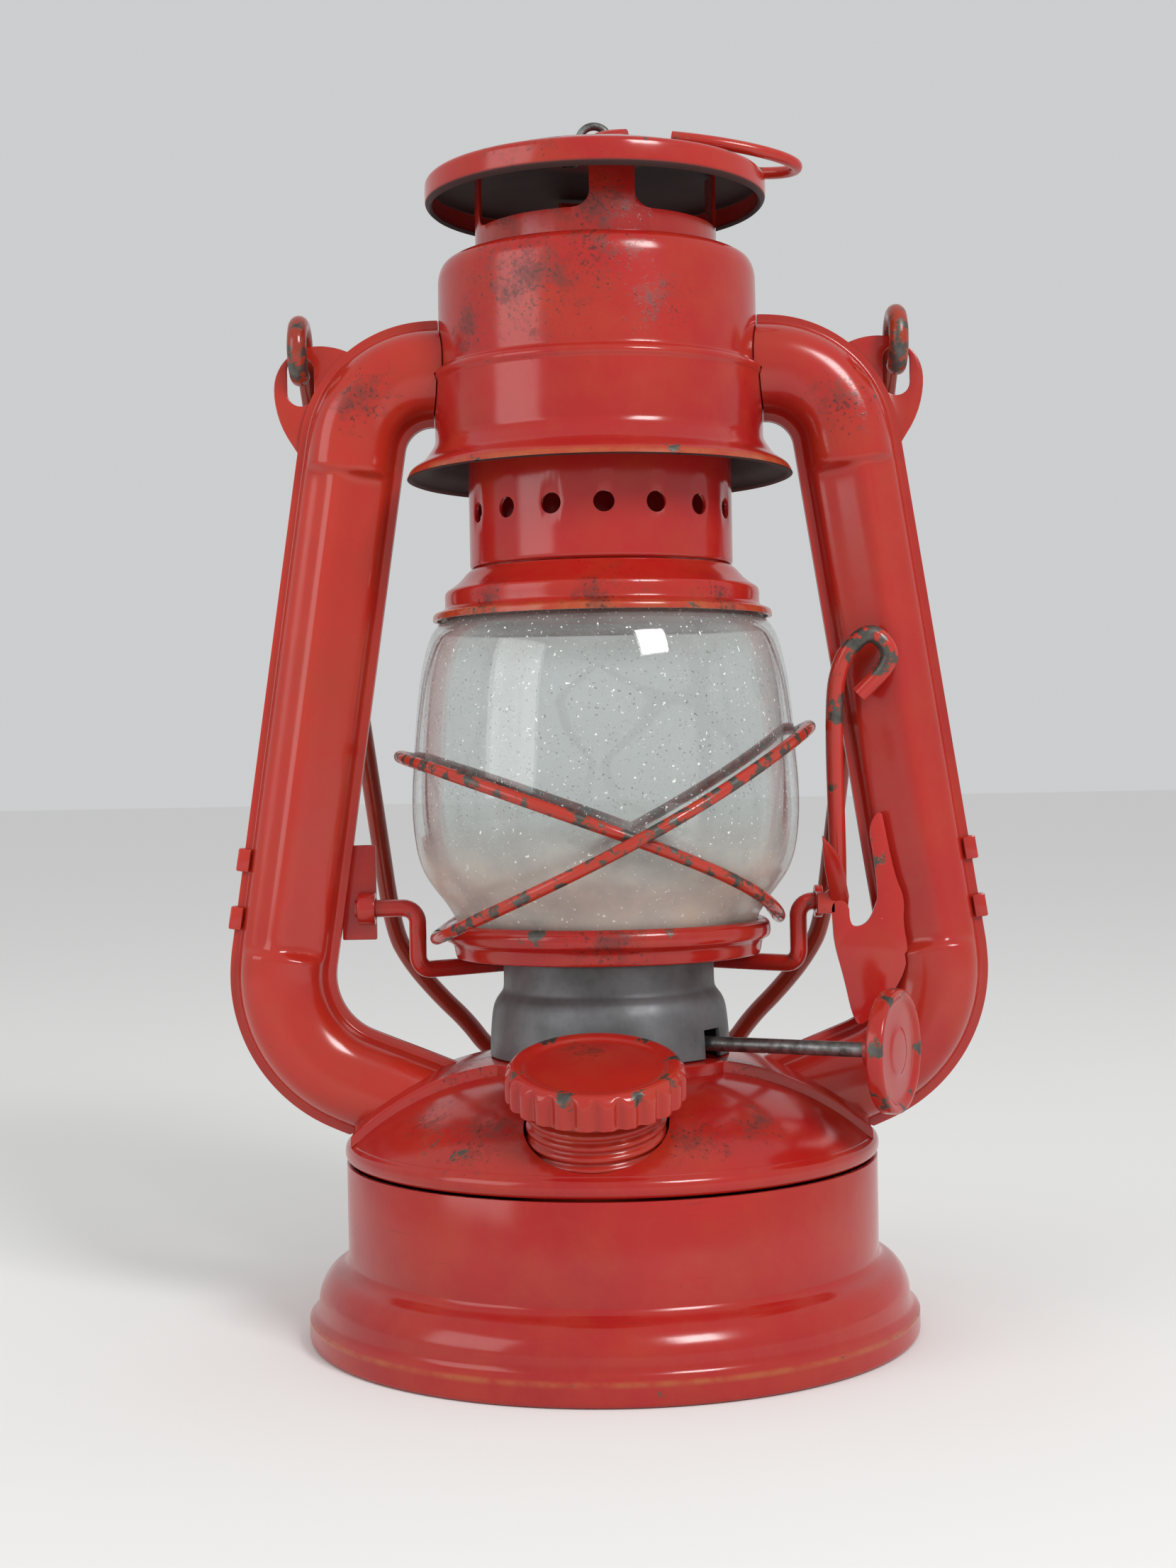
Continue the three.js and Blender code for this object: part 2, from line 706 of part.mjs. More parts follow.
// A line of nodes made longer at its start and its end, or shorter by a negative length
function stretched(nodes, before, after) {
  const backward = nodes[0].clone().sub(nodes[1]).normalize();
  const forward = nodes.at(-1).clone().sub(nodes.at(-2)).normalize();
  const first = nodes[0].clone().addScaledVector(backward, before);
  const last = nodes.at(-1).clone().addScaledVector(forward, after);
  return [first, ...nodes.slice(1, -1), last];
}

// Half sections: [outward, deep] from the inner wall over the ridge to the outer wall
const wallHalf = tubeHalfWidth - tubeFlange;
const ridgeShare = tubeRidge / wallHalf;
const ridgeHalfShare = 0.07;
const straightShares = [
  [-1, 0], [-0.91, 0.5], [-0.45, 0.66], [ridgeShare - ridgeHalfShare, 1],
  [ridgeShare + ridgeHalfShare, 1], [0.55, 0.7], [0.91, 0.5], [1, 0],
];
const elbowShares = [
  [-1, 0], [-0.93, 0.45], [-0.7, 0.78], [-0.2, 0.96], [0.3, 1], [0.7, 0.83], [0.93, 0.45], [1, 0],
];

function sectionLine(shares, depth, wall) {
  const line = shares.map(([out, deep]) => [out * wallHalf, deep * depth]);
  const moved = shift(line, -wall);
  const base = wall > 0 ? -overrun : 0;
  moved[0][1] = base;
  moved[moved.length - 1][1] = base;
  return moved;
}

// A section on one side of the parting plane, swept along the tube's nodes
function pressed(line, nodes, side, facing) {
  const points = line.map(([out, deep]) => [facing * (deep + gap / 2), side * out]);
  return solid(sweep(outline(points), nodes));
}

const flangeLine = [
  [-tubeHalfWidth, 0], [-tubeHalfWidth, sheet], [tubeHalfWidth, sheet], [tubeHalfWidth, 0],
];
const tabOut = tubeHalfWidth + gap;
const tabBack = -gap - sheet;
const tabLine = [
  [tubeHalfWidth - tabGrip, sheet],
  [tabOut + sheet, sheet],
  [tabOut + sheet, tabBack - sheet],
  [tubeHalfWidth - tabGrip, tabBack - sheet - gap],
  [tubeHalfWidth - tabGrip, tabBack - gap],
  [tabOut, tabBack - gap],
  [tabOut, 0],
  [tubeHalfWidth - tabGrip, 0],
];

function tubeBores(side, facing) {
  const straight = sectionLine(straightShares, tubeDepth, sheet);
  const elbow = sectionLine(elbowShares, tubeElbowDepth, sheet);
  const low = straightNode(side, tubeLowHeight - overrun);
  const high = straightNode(side, tubeHighHeight + overrun);
  return join(
    pressed(elbow, stretched(footNodes(side), overrun, -sheet), side, facing),
    pressed(elbow, stretched(headNodes(side), -sheet, overrun), side, facing),
    pressed(straight, [low, high], side, facing)
  );
}

function tubeHalf(side, facing, ...extras) {
  const foot = footNodes(side);
  const head = headNodes(side);
  const straight = [straightNode(side, tubeLowHeight), straightNode(side, tubeHighHeight)];
  const body = join(
    pressed(sectionLine(elbowShares, tubeElbowDepth, 0), foot, side, facing),
    pressed(sectionLine(elbowShares, tubeElbowDepth, 0), head, side, facing),
    pressed(sectionLine(straightShares, tubeDepth, 0), straight, side, facing),
    pressed(flangeLine, [...foot.slice(0, -1), ...head.slice(1)], side, facing),
    ...extras
  );
  return cut(body, tubeBores(side, facing), canopyEnvelope, underDome(gap), galleryEnvelope);
}

const earShares = [
  [0.05, -2.11], [0.6, -1.23], [0.79, -0.26], [0.63, 0.39], [0.15, 0.87],
  [-0.42, 1], [-0.98, 0.94], [-1.45, 0.76], [-1.4, -2.11],
];

function earPlate(side) {
  const points = earShares.map(([out, up]) => [
    side * (earHoleX + out * earSize),
    earHoleHeight + up * earSize,
  ]);
  const plate = solid(plateAt(outline(points), earThickness, gap / 2));
  const slot = new THREE.Shape();
  const rise = (earHoleLength - earHoleWidth) / 2;
  slot.absarc(side * earHoleX, earHoleHeight + rise, earHoleWidth / 2, 0, Math.PI);
  slot.absarc(side * earHoleX, earHoleHeight - rise, earHoleWidth / 2, Math.PI, 2 * Math.PI);
  return cut(plate, solid(plateAt(slot, earThickness + 2 * overrun, gap / 2 - overrun)));
}

function tabs(side) {
  return tabHeights.map((height) => {
    const low = straightNode(side, height - tabHeight / 2);
    const high = straightNode(side, height + tabHeight / 2);
    return pressed(tabLine, [low, high], side, -1);
  });
}

for (const [name, side] of [["left", -1], ["right", 1]]) {
  place(name + "_tube_front", tubeHalf(side, 1), enamel);
  place(name + "_tube_rear", tubeHalf(side, -1, earPlate(side), ...tabs(side)), enamel);
}

const bores = [-1, 1].flatMap((side) => [tubeBores(side, 1), tubeBores(side, -1)]);
place("canopy", cut(canopyShell, ...bores), enamel);
const capSpace = placed(disc(capRadius + 2 * gap, -collarReach, headTop), fillerPlace);
const galleryCuts = [galleryInner, galleryHole, capSpace, underDome(gap), ...bores];
place("air_gallery", cut(galleryOuter, ...galleryCuts), enamel);

// Chimney: tube with its row of vents, crown on the globe, collar with four legs, and rain cap
const neckRadius = chimneyRadius - sheet - gap;
const upperRadius = hoodRadius - hoodWall - gap;
const shoulderShares = [[1, 0], [0.6, 0.6], [0, 1]];
const chimneyLine = [
  [neckRadius, crownTop - spigotLength],
  [neckRadius, crownTop],
  [chimneyRadius, crownTop + gap],
  ...spread(shoulderShares, upperRadius, chimneyRadius, chimneyShoulder, chimneyShoulder + shoulderRise),
  [upperRadius, chimneyTop],
];
const vents = Array.from({ length: ventCount }, (_, i) => {
  const turn = radians(ventTurn + (360 * i) / ventCount);
  const vent = disc(ventDiameter / 2, neckRadius - overrun, chimneyRadius + overrun, ventSides);
  return solid(vent.rotateY(Math.PI / 2).rotateZ(turn).translate(0, 0, ventHeight));
});
place("chimney_tube", cut(shell(chimneyLine), ...vents), enamel);

const crownShares = [[1, 0], [0.955, 0.14], [0.68, 0.23], [0.68, 0.56], [0.32, 0.745], [0, 1]];
const crownLine = spread(crownShares, chimneyRadius, crownRadius, crownBottom, crownTop);
place("chimney_crown", shell(crownLine), enamel);

const legAcross = [-hoodLegWidth / 2, hoodLegWidth / 2];
const legs = [0, Math.PI / 2].map((turn) => {
  const reach = hoodRadius + overrun;
  const bar = block([-reach, reach], legAcross, [hoodSill - overrun, hoodLegTop + overrun]);
  return solid(bar.rotateZ(radians(hoodLegTurn) + turn));
});
const windowBand = ring(hoodRadius + overrun, hoodRadius - overrun, hoodSill, hoodLegTop + overrun);
const windows = cut(solid(windowBand), ...legs);
const collarBand = solid(ring(hoodRadius, hoodRadius - hoodWall, hoodBottom, hoodLegTop));
place("hood_collar", cut(collarBand, windows), enamel);

const rimShares = [[0.973, 0], [1, 0.2], [1, 0.69], [0.973, 0.9], [0.92, 1]];
const crownCapShares = [[0.92, 0], [0.68, 0.47], [0.34, 0.88], [0, 1]];
const capLine = [
  ...spread(rimShares, 0, capRimRadius, capRimBottom, capRimTop),
  ...spread(crownCapShares, 0, capRimRadius, capRimTop, capRimTop + capCrown).slice(1),
];
const stapleHoles = [-stapleHalfWidth, stapleHalfWidth].map((x) =>
  solid(disc(stapleWire / 2 + gap, capRimTop, stapleTop, stapleSides).translate(x, 0, 0))
);
place("hood_cap", cut(shell(capLine), ...stapleHoles), enamel);

const stapleLow = capRimTop + capCrown - stapleSink;
const stapleCorners = [
  [-stapleFoot, 0, stapleLow],
  [-stapleHalfWidth, 0, stapleLow, stapleWire],
  [-stapleHalfWidth, 0, stapleTop, stapleHalfWidth],
  [stapleHalfWidth, 0, stapleTop, stapleHalfWidth],
  [stapleHalfWidth, 0, stapleLow, stapleWire],
  [stapleFoot, 0, stapleLow],
];
place("ring_staple", wire(bent(stapleCorners), stapleWire), steel);

// Lift ring: an oval lying over to the right, its ends butted on the near side
const ringHalfLength = (ringLength - ringWire) / 2;
const ringHalfWidth = (ringWidth - ringWire) / 2;
const droop = radians(ringDroop);
const ringNodes = Array.from({ length: ringSteps - 1 }, (_, i) => {
  const angle = radians(ringSlitTurn) + ((i + 1) * 2 * Math.PI) / ringSteps;
  const out = ringHalfLength * (1 + Math.cos(angle));
  const x = ringPivotX + out * Math.cos(droop);
  return new THREE.Vector3(x, ringHalfWidth * Math.sin(angle), ringPivotHeight - out * Math.sin(droop));
});
place("lift_ring", wire(ringNodes, ringWire), enamel);

// Globe and the plate that carries it
const globeShares = [
  [0.74, 0], [0.77, 0.081], [0.788, 0.101], [0.89, 0.18], [0.94, 0.22], [0.979, 0.28], [1, 0.379],
  [0.997, 0.478], [0.967, 0.676], [0.945, 0.776], [0.901, 0.875], [0.842, 0.928], [0.765, 0.957],
  [0.765, 1],
];
const globeLine = spread(globeShares, 0, globeRadius, globeBottom, globeTop);
place("globe", shell(globeLine, globeWall), glass);

const plateShares = [
  [0.14, 0], [0.32, 0.38], [0.91, 0.49], [1, 0.68], [0.91, 0.89], [0.45, 1], [0.05, 0.905], [0, 0.11],
];
const plateProfile = [
  [plateBore, plateHeight],
  ...spread(plateShares, plateWell, plateRimRadius, plateHeight, plateRimTop),
  [plateBore, plateHeight + sheet],
  [plateBore, plateHeight],
];
place("globe_plate", turned(plateProfile), enamel);

// Guard wires: each a hoop around the globe, low on one side and high on the other
function guardHoop(lowSide, low, rise, bow, middle) {
  const slit = guardSlit / guardLowRadius;
  const nodes = Array.from({ length: hoopSteps + 1 }, (_, i) => {
    const turn = slit / 2 + (i * (2 * Math.PI - slit)) / hoopSteps;
    const climb = (1 - Math.cos(turn)) / 2;
    const end = guardLowRadius + (guardHighRadius - guardLowRadius) * climb;
    const reach = lowSide * (end * Math.cos(turn) ** 2 + middle * Math.sin(turn) ** 2);
    return new THREE.Vector3(reach * Math.cos(turn), reach * Math.sin(turn), low + rise * climb ** bow);
  });
  return wire(nodes, guardWire);
}

const steepShare = 1.27;
const flatShare = 0.8;
const outerHoop = guardHoop(-1, guardOuterLow, guardOuterRise, steepShare, guardOuterRadius);
place("guard_wire_outer", outerHoop, enamel);
const innerHoop = guardHoop(1, guardInnerLow, guardInnerRise, flatShare, guardInnerRadius);
place("guard_wire_inner", innerHoop, enamel);

// Lifting crank: pivots on both tubes, bows round behind the burner, and ends in a hooked lever
const tangent = Math.acos(crankBow / crankArm);
const bowNodes = Array.from({ length: bendSteps + 1 }, (_, i) => {
  const angle = Math.PI - tangent + ((2 * tangent - Math.PI) * i) / bendSteps;
  return [crankBow * Math.cos(angle), crankBow * Math.sin(angle), crankRunHeight];
});
const leverShares = [
  [-0.02, 0.2, 0.157], [-0.13, 0.73, 0.74], [0.02, 0.885, 0.897], [0.35, 0.94, 0.975], [0.64, 0.97, 1],
  [0.93, 1, 0.953], [1, 0.98, 0.886], [0.384, 0.854, 0.769],
];
const leverCorners = leverShares.map(([out, forward, up]) => [
  leverX + out * leverHook,
  -forward * leverForward,
  crankHeight + up * leverRise,
]);
const crankCorners = [
  [-crankEnd, 0, crankHeight],
  [-crankArm, 0, crankHeight, crankBend],
  [-crankArm, 0, crankRunHeight, crankBend],
  ...bowNodes,
  [crankArm, 0, crankRunHeight, crankBend],
  [crankArm, 0, crankHeight, crankBend],
  [leverX, 0, crankHeight, crankBend],
  ...leverCorners,
];
place("lift_crank", wire(bent(crankCorners), crankWire), enamel);

// Lever bracket on the right tube, with a tongue bent forward and an eye for the crank
const boreRadius = crankWire / 2 + gap;
const bracketShares = [
  [0.82, 0.97], [1, 0.69], [1.15, 0.59], [1.12, 0.475], [1.2, 0.344], [1.09, 0.216], [0.75, 0.09],
  [0.42, 0], [0.3, 0.06], [0.19, 0.22], [0.04, 0.384], [0.02, 0.48], [0, 0.58], [0.28, 0.58],
  [0.29, 0.467], [0.45, 0.46], [0.6, 0.49], [0.7, 0.56], [0.74, 0.6], [0.67, 0.8], [0.61, 0.9],
  [0.72, 0.98],
];
const tongueShares = [
  [0, -0.1], [0.28, -0.1], [0.28, 0.05], [0.2, 0.35], [0.1, 0.65], [-0.2, 1], [-0.13, 0.5], [0, 0],
];
const tongueLean = radians(tongueTurn);
const tongueFoot = bracketBottom + bracketHeight * tongueShare;
const bracketPoints = bracketShares.map(([out, up]) => [
  bracketLeft + out * bracketWidth,
  bracketBottom + up * bracketHeight,
]);
const tonguePoints = tongueShares.map(([out, up]) => [
  bracketLeft + out * bracketWidth,
  (up * tongueHeight) / Math.cos(tongueLean),
]);
const tongueForm = plateAt(outline(tonguePoints), bracketSheet, 0)
  .rotateX(tongueLean)
  .translate(0, -bracketFront, tongueFoot);
const bracketPlate = solid(plateAt(outline(bracketPoints), bracketSheet, -bracketFront));
const eyePlace = new THREE.Matrix4()
  .makeTranslation(0, 0, crankHeight)
  .multiply(new THREE.Matrix4().makeRotationY(Math.PI / 2));
const eyeLeft = crankArm + crankBend + gap;
const eyeRight = leverX - crankBend - gap;
const eyeSpan = [crankHeight - boreRadius, crankHeight + boreRadius];
const eyeAcross = [-bracketFront, bracketSheet - bracketFront];
const eyeArm = block([eyeLeft, bracketLeft + bracketSheet], eyeAcross, eyeSpan);
const eyeWeb = block([eyeLeft, eyeRight], [-bracketFront, 0], eyeSpan);
const bracketEye = placed(disc(eyeRadius, eyeLeft, eyeRight, boreSides), eyePlace);
const bracketBore = placed(disc(boreRadius, eyeLeft - overrun, eyeRight + gap, boreSides), eyePlace);
const bracketForm = join(bracketPlate, solid(tongueForm), solid(eyeArm), solid(eyeWeb), bracketEye);

// The space a side tube needs on one side of its parting plane
function besideTube(side, facing) {
  const straight = [straightNode(side, tubeLowHeight), straightNode(side, tubeHighHeight)];
  const elbow = sectionLine(elbowShares, tubeElbowDepth, -gap);
  return join(
    pressed(elbow, stretched(footNodes(side), 0, gap), side, facing),
    pressed(sectionLine(straightShares, tubeDepth, -gap), straight, side, facing)
  );
}

place("lever_bracket", cut(bracketForm, bracketBore, besideTube(1, 1)), enamel);

// Pivot bracket on the left tube, behind its inner flange
const pivotFront = gap / 2 + sheet + gap;
const pivotDeep = [pivotFront, pivotFront + bracketSheet];
const pivotPlate = block([-pivotOuter, -pivotInner], pivotDeep, [pivotLow, pivotHigh]);
const pivotEye = placed(disc(eyeRadius, -crankEnd + boreWall, -pivotInner, boreSides), eyePlace);
const pivotBore = placed(disc(boreRadius, -crankEnd - gap, overrun - pivotInner, boreSides), eyePlace);
place("pivot_bracket", cut(join(solid(pivotPlate), pivotEye), pivotBore, besideTube(-1, -1)), enamel);

// Bail: a wire loop leaning back, each end a hook through its ear
const bailShares = [
  [0.824, 0.636], [0.783, 0.797], [0.721, 0.847], [0.62, 0.897], [0.523, 0.936], [0.446, 0.98], [0.33, 0.999],
];
const backward = radians(bailLean);

function hookNodes(side) {
  return Array.from({ length: hookSteps + 1 }, (_, i) => {
    const angle = backward + (radians(bailHookTurn) * i) / hookSteps;
    const y = bailPivotY + bailHook * Math.cos(angle);
    return [side * earHoleX, y, bailPivotHeight + bailHook * Math.sin(angle)];
  }).reverse();
}

function bailSide(side) {
  const startY = bailPivotY + bailHook * Math.cos(backward);
  const startHeight = bailPivotHeight + bailHook * Math.sin(backward);
  const leg = bailShares.map(([out, down]) => [
    side * out * earHoleX,
    startY + down * bailReach * Math.sin(backward),
    startHeight - down * bailReach * Math.cos(backward),
  ]);
  return [...hookNodes(side), ...leg];
}

place("bail", wire(bent([...bailSide(-1), ...bailSide(1).reverse()]), bailWire), enamel);

export default lantern;
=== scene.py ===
# The looks of a small hurricane lantern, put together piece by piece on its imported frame.
# Sizes are in millimetres and become metres when a piece is finished.
import math

import bmesh
import bpy
from mathutils import Matrix, Vector


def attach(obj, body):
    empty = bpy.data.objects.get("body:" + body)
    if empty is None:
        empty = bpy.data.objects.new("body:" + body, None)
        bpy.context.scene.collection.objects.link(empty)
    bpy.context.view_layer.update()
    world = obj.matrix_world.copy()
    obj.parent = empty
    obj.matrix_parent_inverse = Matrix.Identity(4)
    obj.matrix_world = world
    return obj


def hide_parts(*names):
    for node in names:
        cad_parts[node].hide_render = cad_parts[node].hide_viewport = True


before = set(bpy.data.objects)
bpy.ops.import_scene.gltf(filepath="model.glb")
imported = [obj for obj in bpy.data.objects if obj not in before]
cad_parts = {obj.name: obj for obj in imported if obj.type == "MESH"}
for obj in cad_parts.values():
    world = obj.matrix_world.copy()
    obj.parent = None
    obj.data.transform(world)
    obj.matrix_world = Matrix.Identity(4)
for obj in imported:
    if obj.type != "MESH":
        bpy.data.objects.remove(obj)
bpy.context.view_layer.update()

# Camera: a phone held 39 cm in front of the lantern's axis, at the height of its globe.
# It is turned a little left, looks a little down, and is rolled one degree.
photo_height = 2212
focal_pixels = 3203
lens_data = bpy.data.cameras.new("camera")
lens_data.sensor_fit = "VERTICAL"
lens_data.sensor_height = 24
lens_data.lens = lens_data.sensor_height * focal_pixels / photo_height
lens_data.clip_start = 0.01
camera = bpy.data.objects.new("camera", lens_data)
turn_left = Matrix.Rotation(math.radians(0.438), 4, "Z")
look_down = Matrix.Rotation(math.radians(90 - 0.454), 4, "X")
roll = Matrix.Rotation(math.radians(-1.039), 4, "Z")
held_at = Matrix.Translation((0, -0.3935, 0.09707))
camera.matrix_world = held_at @ turn_left @ look_down @ roll
bpy.context.collection.objects.link(camera)
bpy.context.scene.camera = camera
bpy.context.scene.view_settings.view_transform = "Standard"


# Studio: a pale matt floor, an even white surround, and two soft lamps.
# The key lamp hangs high on the right in front, and the fill is a wide one on the left.
def linear(colour):
    """An sRGB hex value as a linear colour with alpha."""
    parts = [(colour >> shift & 255) / 255 for shift in (16, 8, 0)]
    return [part / 12.92 if part <= 0.04045 else ((part + 0.055) / 1.055) ** 2.4 for part in parts] + [1]


def add_node(material, kind, sockets=None, **settings):
    """A shader node with its settings. A socket takes a value, an output, or a node for its first output."""
    made = material.node_tree.nodes.new("ShaderNode" + kind)
    for name, value in settings.items():
        setattr(made, name, value)
    for name, value in (sockets or {}).items():
        if isinstance(value, bpy.types.ShaderNode):
            value = value.outputs[0]
        if isinstance(value, bpy.types.NodeSocket):
            material.node_tree.links.new(value, made.inputs[name])
        else:
            made.inputs[name].default_value = value
    return made


def new_material(name):
    """An empty node material, and a function that adds a node to it."""
    material = bpy.data.materials.new(name)
    material.use_nodes = True
    material.node_tree.nodes.clear()
    return material, lambda kind, sockets=None, **settings: add_node(material, kind, sockets, **settings)


floor_paint, node = new_material("matt floor paint")
floor_shader = node(
    "BsdfPrincipled", {"Base Color": linear(0xECECEA), "Roughness": 1.0, "Specular IOR Level": 0.0}
)
node("OutputMaterial", {"Surface": floor_shader})
floor_mesh = bmesh.new()
bmesh.ops.create_grid(floor_mesh, x_segments=1, y_segments=1, size=6)
floor_data = bpy.data.meshes.new("floor")
floor_mesh.to_mesh(floor_data)
floor_mesh.free()
floor_data.materials.append(floor_paint)
floor = bpy.data.objects.new("floor", floor_data)
bpy.context.collection.objects.link(floor)

world = bpy.data.worlds.new("studio")
world.use_nodes = True
world.node_tree.nodes.clear()
path = add_node(world, "LightPath")
seen = path.outputs["Is Camera Ray"]
for ray in ("Is Glossy Ray", "Is Transmission Ray"):
    seen = add_node(world, "Math", {0: seen, 1: path.outputs[ray]}, operation="MAXIMUM")
strength = add_node(world, "MapRange", {"Value": seen, "To Min": 0.72, "To Max": 0.66})
sky = add_node(world, "Background", {"Color": linear(0xF6F7F8), "Strength": strength})
add_node(world, "OutputWorld", {"Surface": sky})
bpy.context.scene.world = world

for name, place, size, power in (
    ("key lamp", (0.42, -0.62, 0.62), 0.26, 4.2),
    ("fill lamp", (-0.7, -0.45, 0.35), 0.5, 1.6),
):
    lamp_data = bpy.data.lights.new(name, "AREA")
    lamp_data.size = size
    lamp_data.energy = power
    lamp = bpy.data.objects.new(name, lamp_data)
    aim = Vector((0, 0, 0.1)) - Vector(place)
    lamp.matrix_world = Matrix.Translation(place) @ aim.to_track_quat("-Z", "Y").to_matrix().to_4x4()
    bpy.context.collection.objects.link(lamp)


# Fount drum: the tinplate wall of the oil tank, pressed out at the bottom into a stepped foot
# with a flat lip. It is sprayed with red paint, scratched round the sides by shelves and hands.
sheet = 0.7


def red_paint(
    name, chips=0.8, rims=(), spots=(), grime=(), deep=0x8A1217, bright=0xB8241B, scratches=0.0, underside_shade_top=0
):
    """Air-dried red gloss paint on tinplate. It is smooth and glossy, a little uneven in depth,
    speckled with dirt, and broken to primer and dull metal where it has been knocked.
    rims are rubbed circles (radius, height, width), spots are chipped and grime is dirty (x, y, z, reach).
    Faces that point down, below a given height, are painted near-black: this is painted shade."""
    material, node = new_material(name)
    coords = node("TexCoord")
    place = node("Mapping", {"Vector": coords.outputs["Object"], "Scale": (1000, 1000, 1000)})

    # The size of each mark in millimetres, and how much finer and rougher it is within
    grain = {}
    for mark, size, detail, roughness in (
        ("depth", 34.0, 2.0, 0.55),
        ("fading", 11.0, 5.0, 0.65),
        ("dirt", 5.0, 8.0, 0.78),
        ("specks", 0.8, 4.0, 0.75),
        ("chips", 2.4, 6.0, 0.62),
        ("metal", 1.6, 4.0, 0.6),
        ("gloss", 12.0, 4.0, 0.6),
        ("peel", 3.0, 2.0, 0.5),
    ):
        values = {"Vector": place, "Scale": 1 / size, "Detail": detail, "Roughness": roughness}
        grain[mark] = node("TexNoise", values)

    def closeness(centres):
        """How near a place is to the nearest of some spots, from none at its reach to full."""
        nearest = 0.0
        for x, y, z, reach in centres:
            away = node("VectorMath", {0: place, 1: (x, y, z)}, operation="DISTANCE").outputs["Value"]
            share = node("MapRange", {"Value": away, "From Min": reach, "From Max": 0.0})
            nearest = node("Math", {0: share, 1: nearest}, operation="MAXIMUM")
        return nearest

    rubbed = 0.0
    if rims:
        flat = node("VectorMath", {0: place, 1: (1, 1, 0)}, operation="MULTIPLY")
        radius = node("VectorMath", {0: flat}, operation="LENGTH").outputs["Value"]
        height = node("SeparateXYZ", {0: place}).outputs["Z"]
        pair = node("CombineXYZ", {0: radius, 1: height})
        for rim_radius, rim_height, width in rims:
            rim = (rim_radius, rim_height, 0)
            away = node("VectorMath", {0: pair, 1: rim}, operation="DISTANCE").outputs["Value"]
            share = node("MapRange", {"Value": away, "From Min": width, "From Max": 0.0})
            rubbed = node("Math", {0: share, 1: rubbed}, operation="MAXIMUM")

    # Dirt gathers in soft clouds and small dark specks
    dirty = closeness(grime)
    field = node("Math", {0: dirty, 1: 0.26, 2: grain["dirt"]}, operation="MULTIPLY_ADD")
    dirt = node("MapRange", {"Value": field, "From Min": 0.66, "From Max": 0.8, "To Max": 0.6})
    field = node("Math", {0: dirty, 1: 0.17, 2: grain["specks"]}, operation="MULTIPLY_ADD")
    specks = node("MapRange", {"Value": field, "From Min": 0.68, "From Max": 0.74, "To Max": 0.75})

    # Chips open through a thin brown edge of primer to the metal
    rubbed_through = node("Math", {0: rubbed, 1: 0.55}, operation="MULTIPLY")
    knocked = node("Math", {0: closeness(spots), 1: rubbed_through}, operation="MAXIMUM")
    field = node("Math", {0: knocked, 1: 0.3, 2: grain["chips"]}, operation="MULTIPLY_ADD")
    primer = node("MapRange", {"Value": field, "From Min": chips - 0.03, "From Max": chips - 0.012})
    bare = node("MapRange", {"Value": field, "From Min": chips, "From Max": chips + 0.012})

    # The paint, and over it what has faded, scored, rubbed, soiled and chipped it, and painted shade on its
    # downward faces
    tones = {0: grain["depth"], 6: linear(deep), 7: linear(bright)}
    colour = node("Mix", tones, data_type="RGBA").outputs[2]
    tones = {0: grain["metal"], 6: linear(0x2F2E2D), 7: linear(0x77736D)}
    metal = node("Mix", tones, data_type="RGBA").outputs[2]
    faded = node(
        "MapRange", {"Value": grain["fading"], "From Min": 0.42, "From Max": 0.72, "To Max": 0.6}
    )
    layers = [(faded, linear(0xA8371F))]
    if scratches:
        drawn_out = node("Mapping", {"Vector": place, "Scale": (0.06, 0.06, 3.0)})
        lines = node("TexNoise", {"Vector": drawn_out, "Scale": 1.0, "Detail": 2.0, "Roughness": 0.5})
        lines = node("MapRange", {"Value": lines, "From Min": 0.68, "From Max": 0.76})
        areas = node("TexNoise", {"Vector": place, "Scale": 1 / 16, "Detail": 3.0, "Roughness": 0.55})
        areas = node("MapRange", {"Value": areas, "From Min": 0.5, "From Max": 0.6})
        scored = node("Math", {0: lines, 1: areas}, operation="MULTIPLY")
        scored = node("Math", {0: scored, 1: scratches}, operation="MULTIPLY")
        layers.append((scored, linear(0x5A1713)))
    if rims:
        patches = node("TexNoise", {"Vector": place, "Scale": 1 / 4.5, "Detail": 4.0, "Roughness": 0.6})
        patches = node("MapRange", {"Value": patches, "From Min": 0.3, "From Max": 0.6, "To Max": 0.85})
        worn_brown = node("MapRange", {"Value": rubbed, "From Min": 0.1, "From Max": 0.75})
        worn_brown = node("Math", {0: worn_brown, 1: patches}, operation="MULTIPLY")
        layers.append((worn_brown, linear(0xA8522C)))
    layers += [(dirt, linear(0x4C2A22)), (specks, linear(0x3A211D))]
    layers += [(primer, linear(0x7A3B24)), (bare, metal)]
    underside_shade = 0.0
    # Painted shade: faces that point down, below a given height, are painted near-black
    if underside_shade_top:
        up = node("SeparateXYZ", {0: coords.outputs["Normal"]}).outputs["Z"]
        level = node("SeparateXYZ", {0: place}).outputs["Z"]
        under = node("MapRange", {"Value": up, "From Min": -0.12, "From Max": -0.4, "To Max": 0.94})
        low = node("MapRange", {"Value": level, "From Min": underside_shade_top, "From Max": underside_shade_top - 1})
        underside_shade = node("Math", {0: under, 1: low}, operation="MULTIPLY")
        layers.append((underside_shade, linear(0x150D0B)))
    for share, over in layers:
        colour = node("Mix", {0: share, 6: colour, 7: over}, data_type="RGBA").outputs[2]

    # Dirt, bare metal and the painted shade on downward faces are duller than the gloss
    roughness = node(
        "MapRange",
        {"Value": grain["gloss"], "From Min": 0.3, "From Max": 0.8, "To Min": 0.12, "To Max": 0.24},
    )
    for share, dulling in ((dirt, 0.35), (bare, 0.25), (underside_shade, 0.6)):
        roughness = node("Math", {0: share, 1: dulling, 2: roughness}, operation="MULTIPLY_ADD")

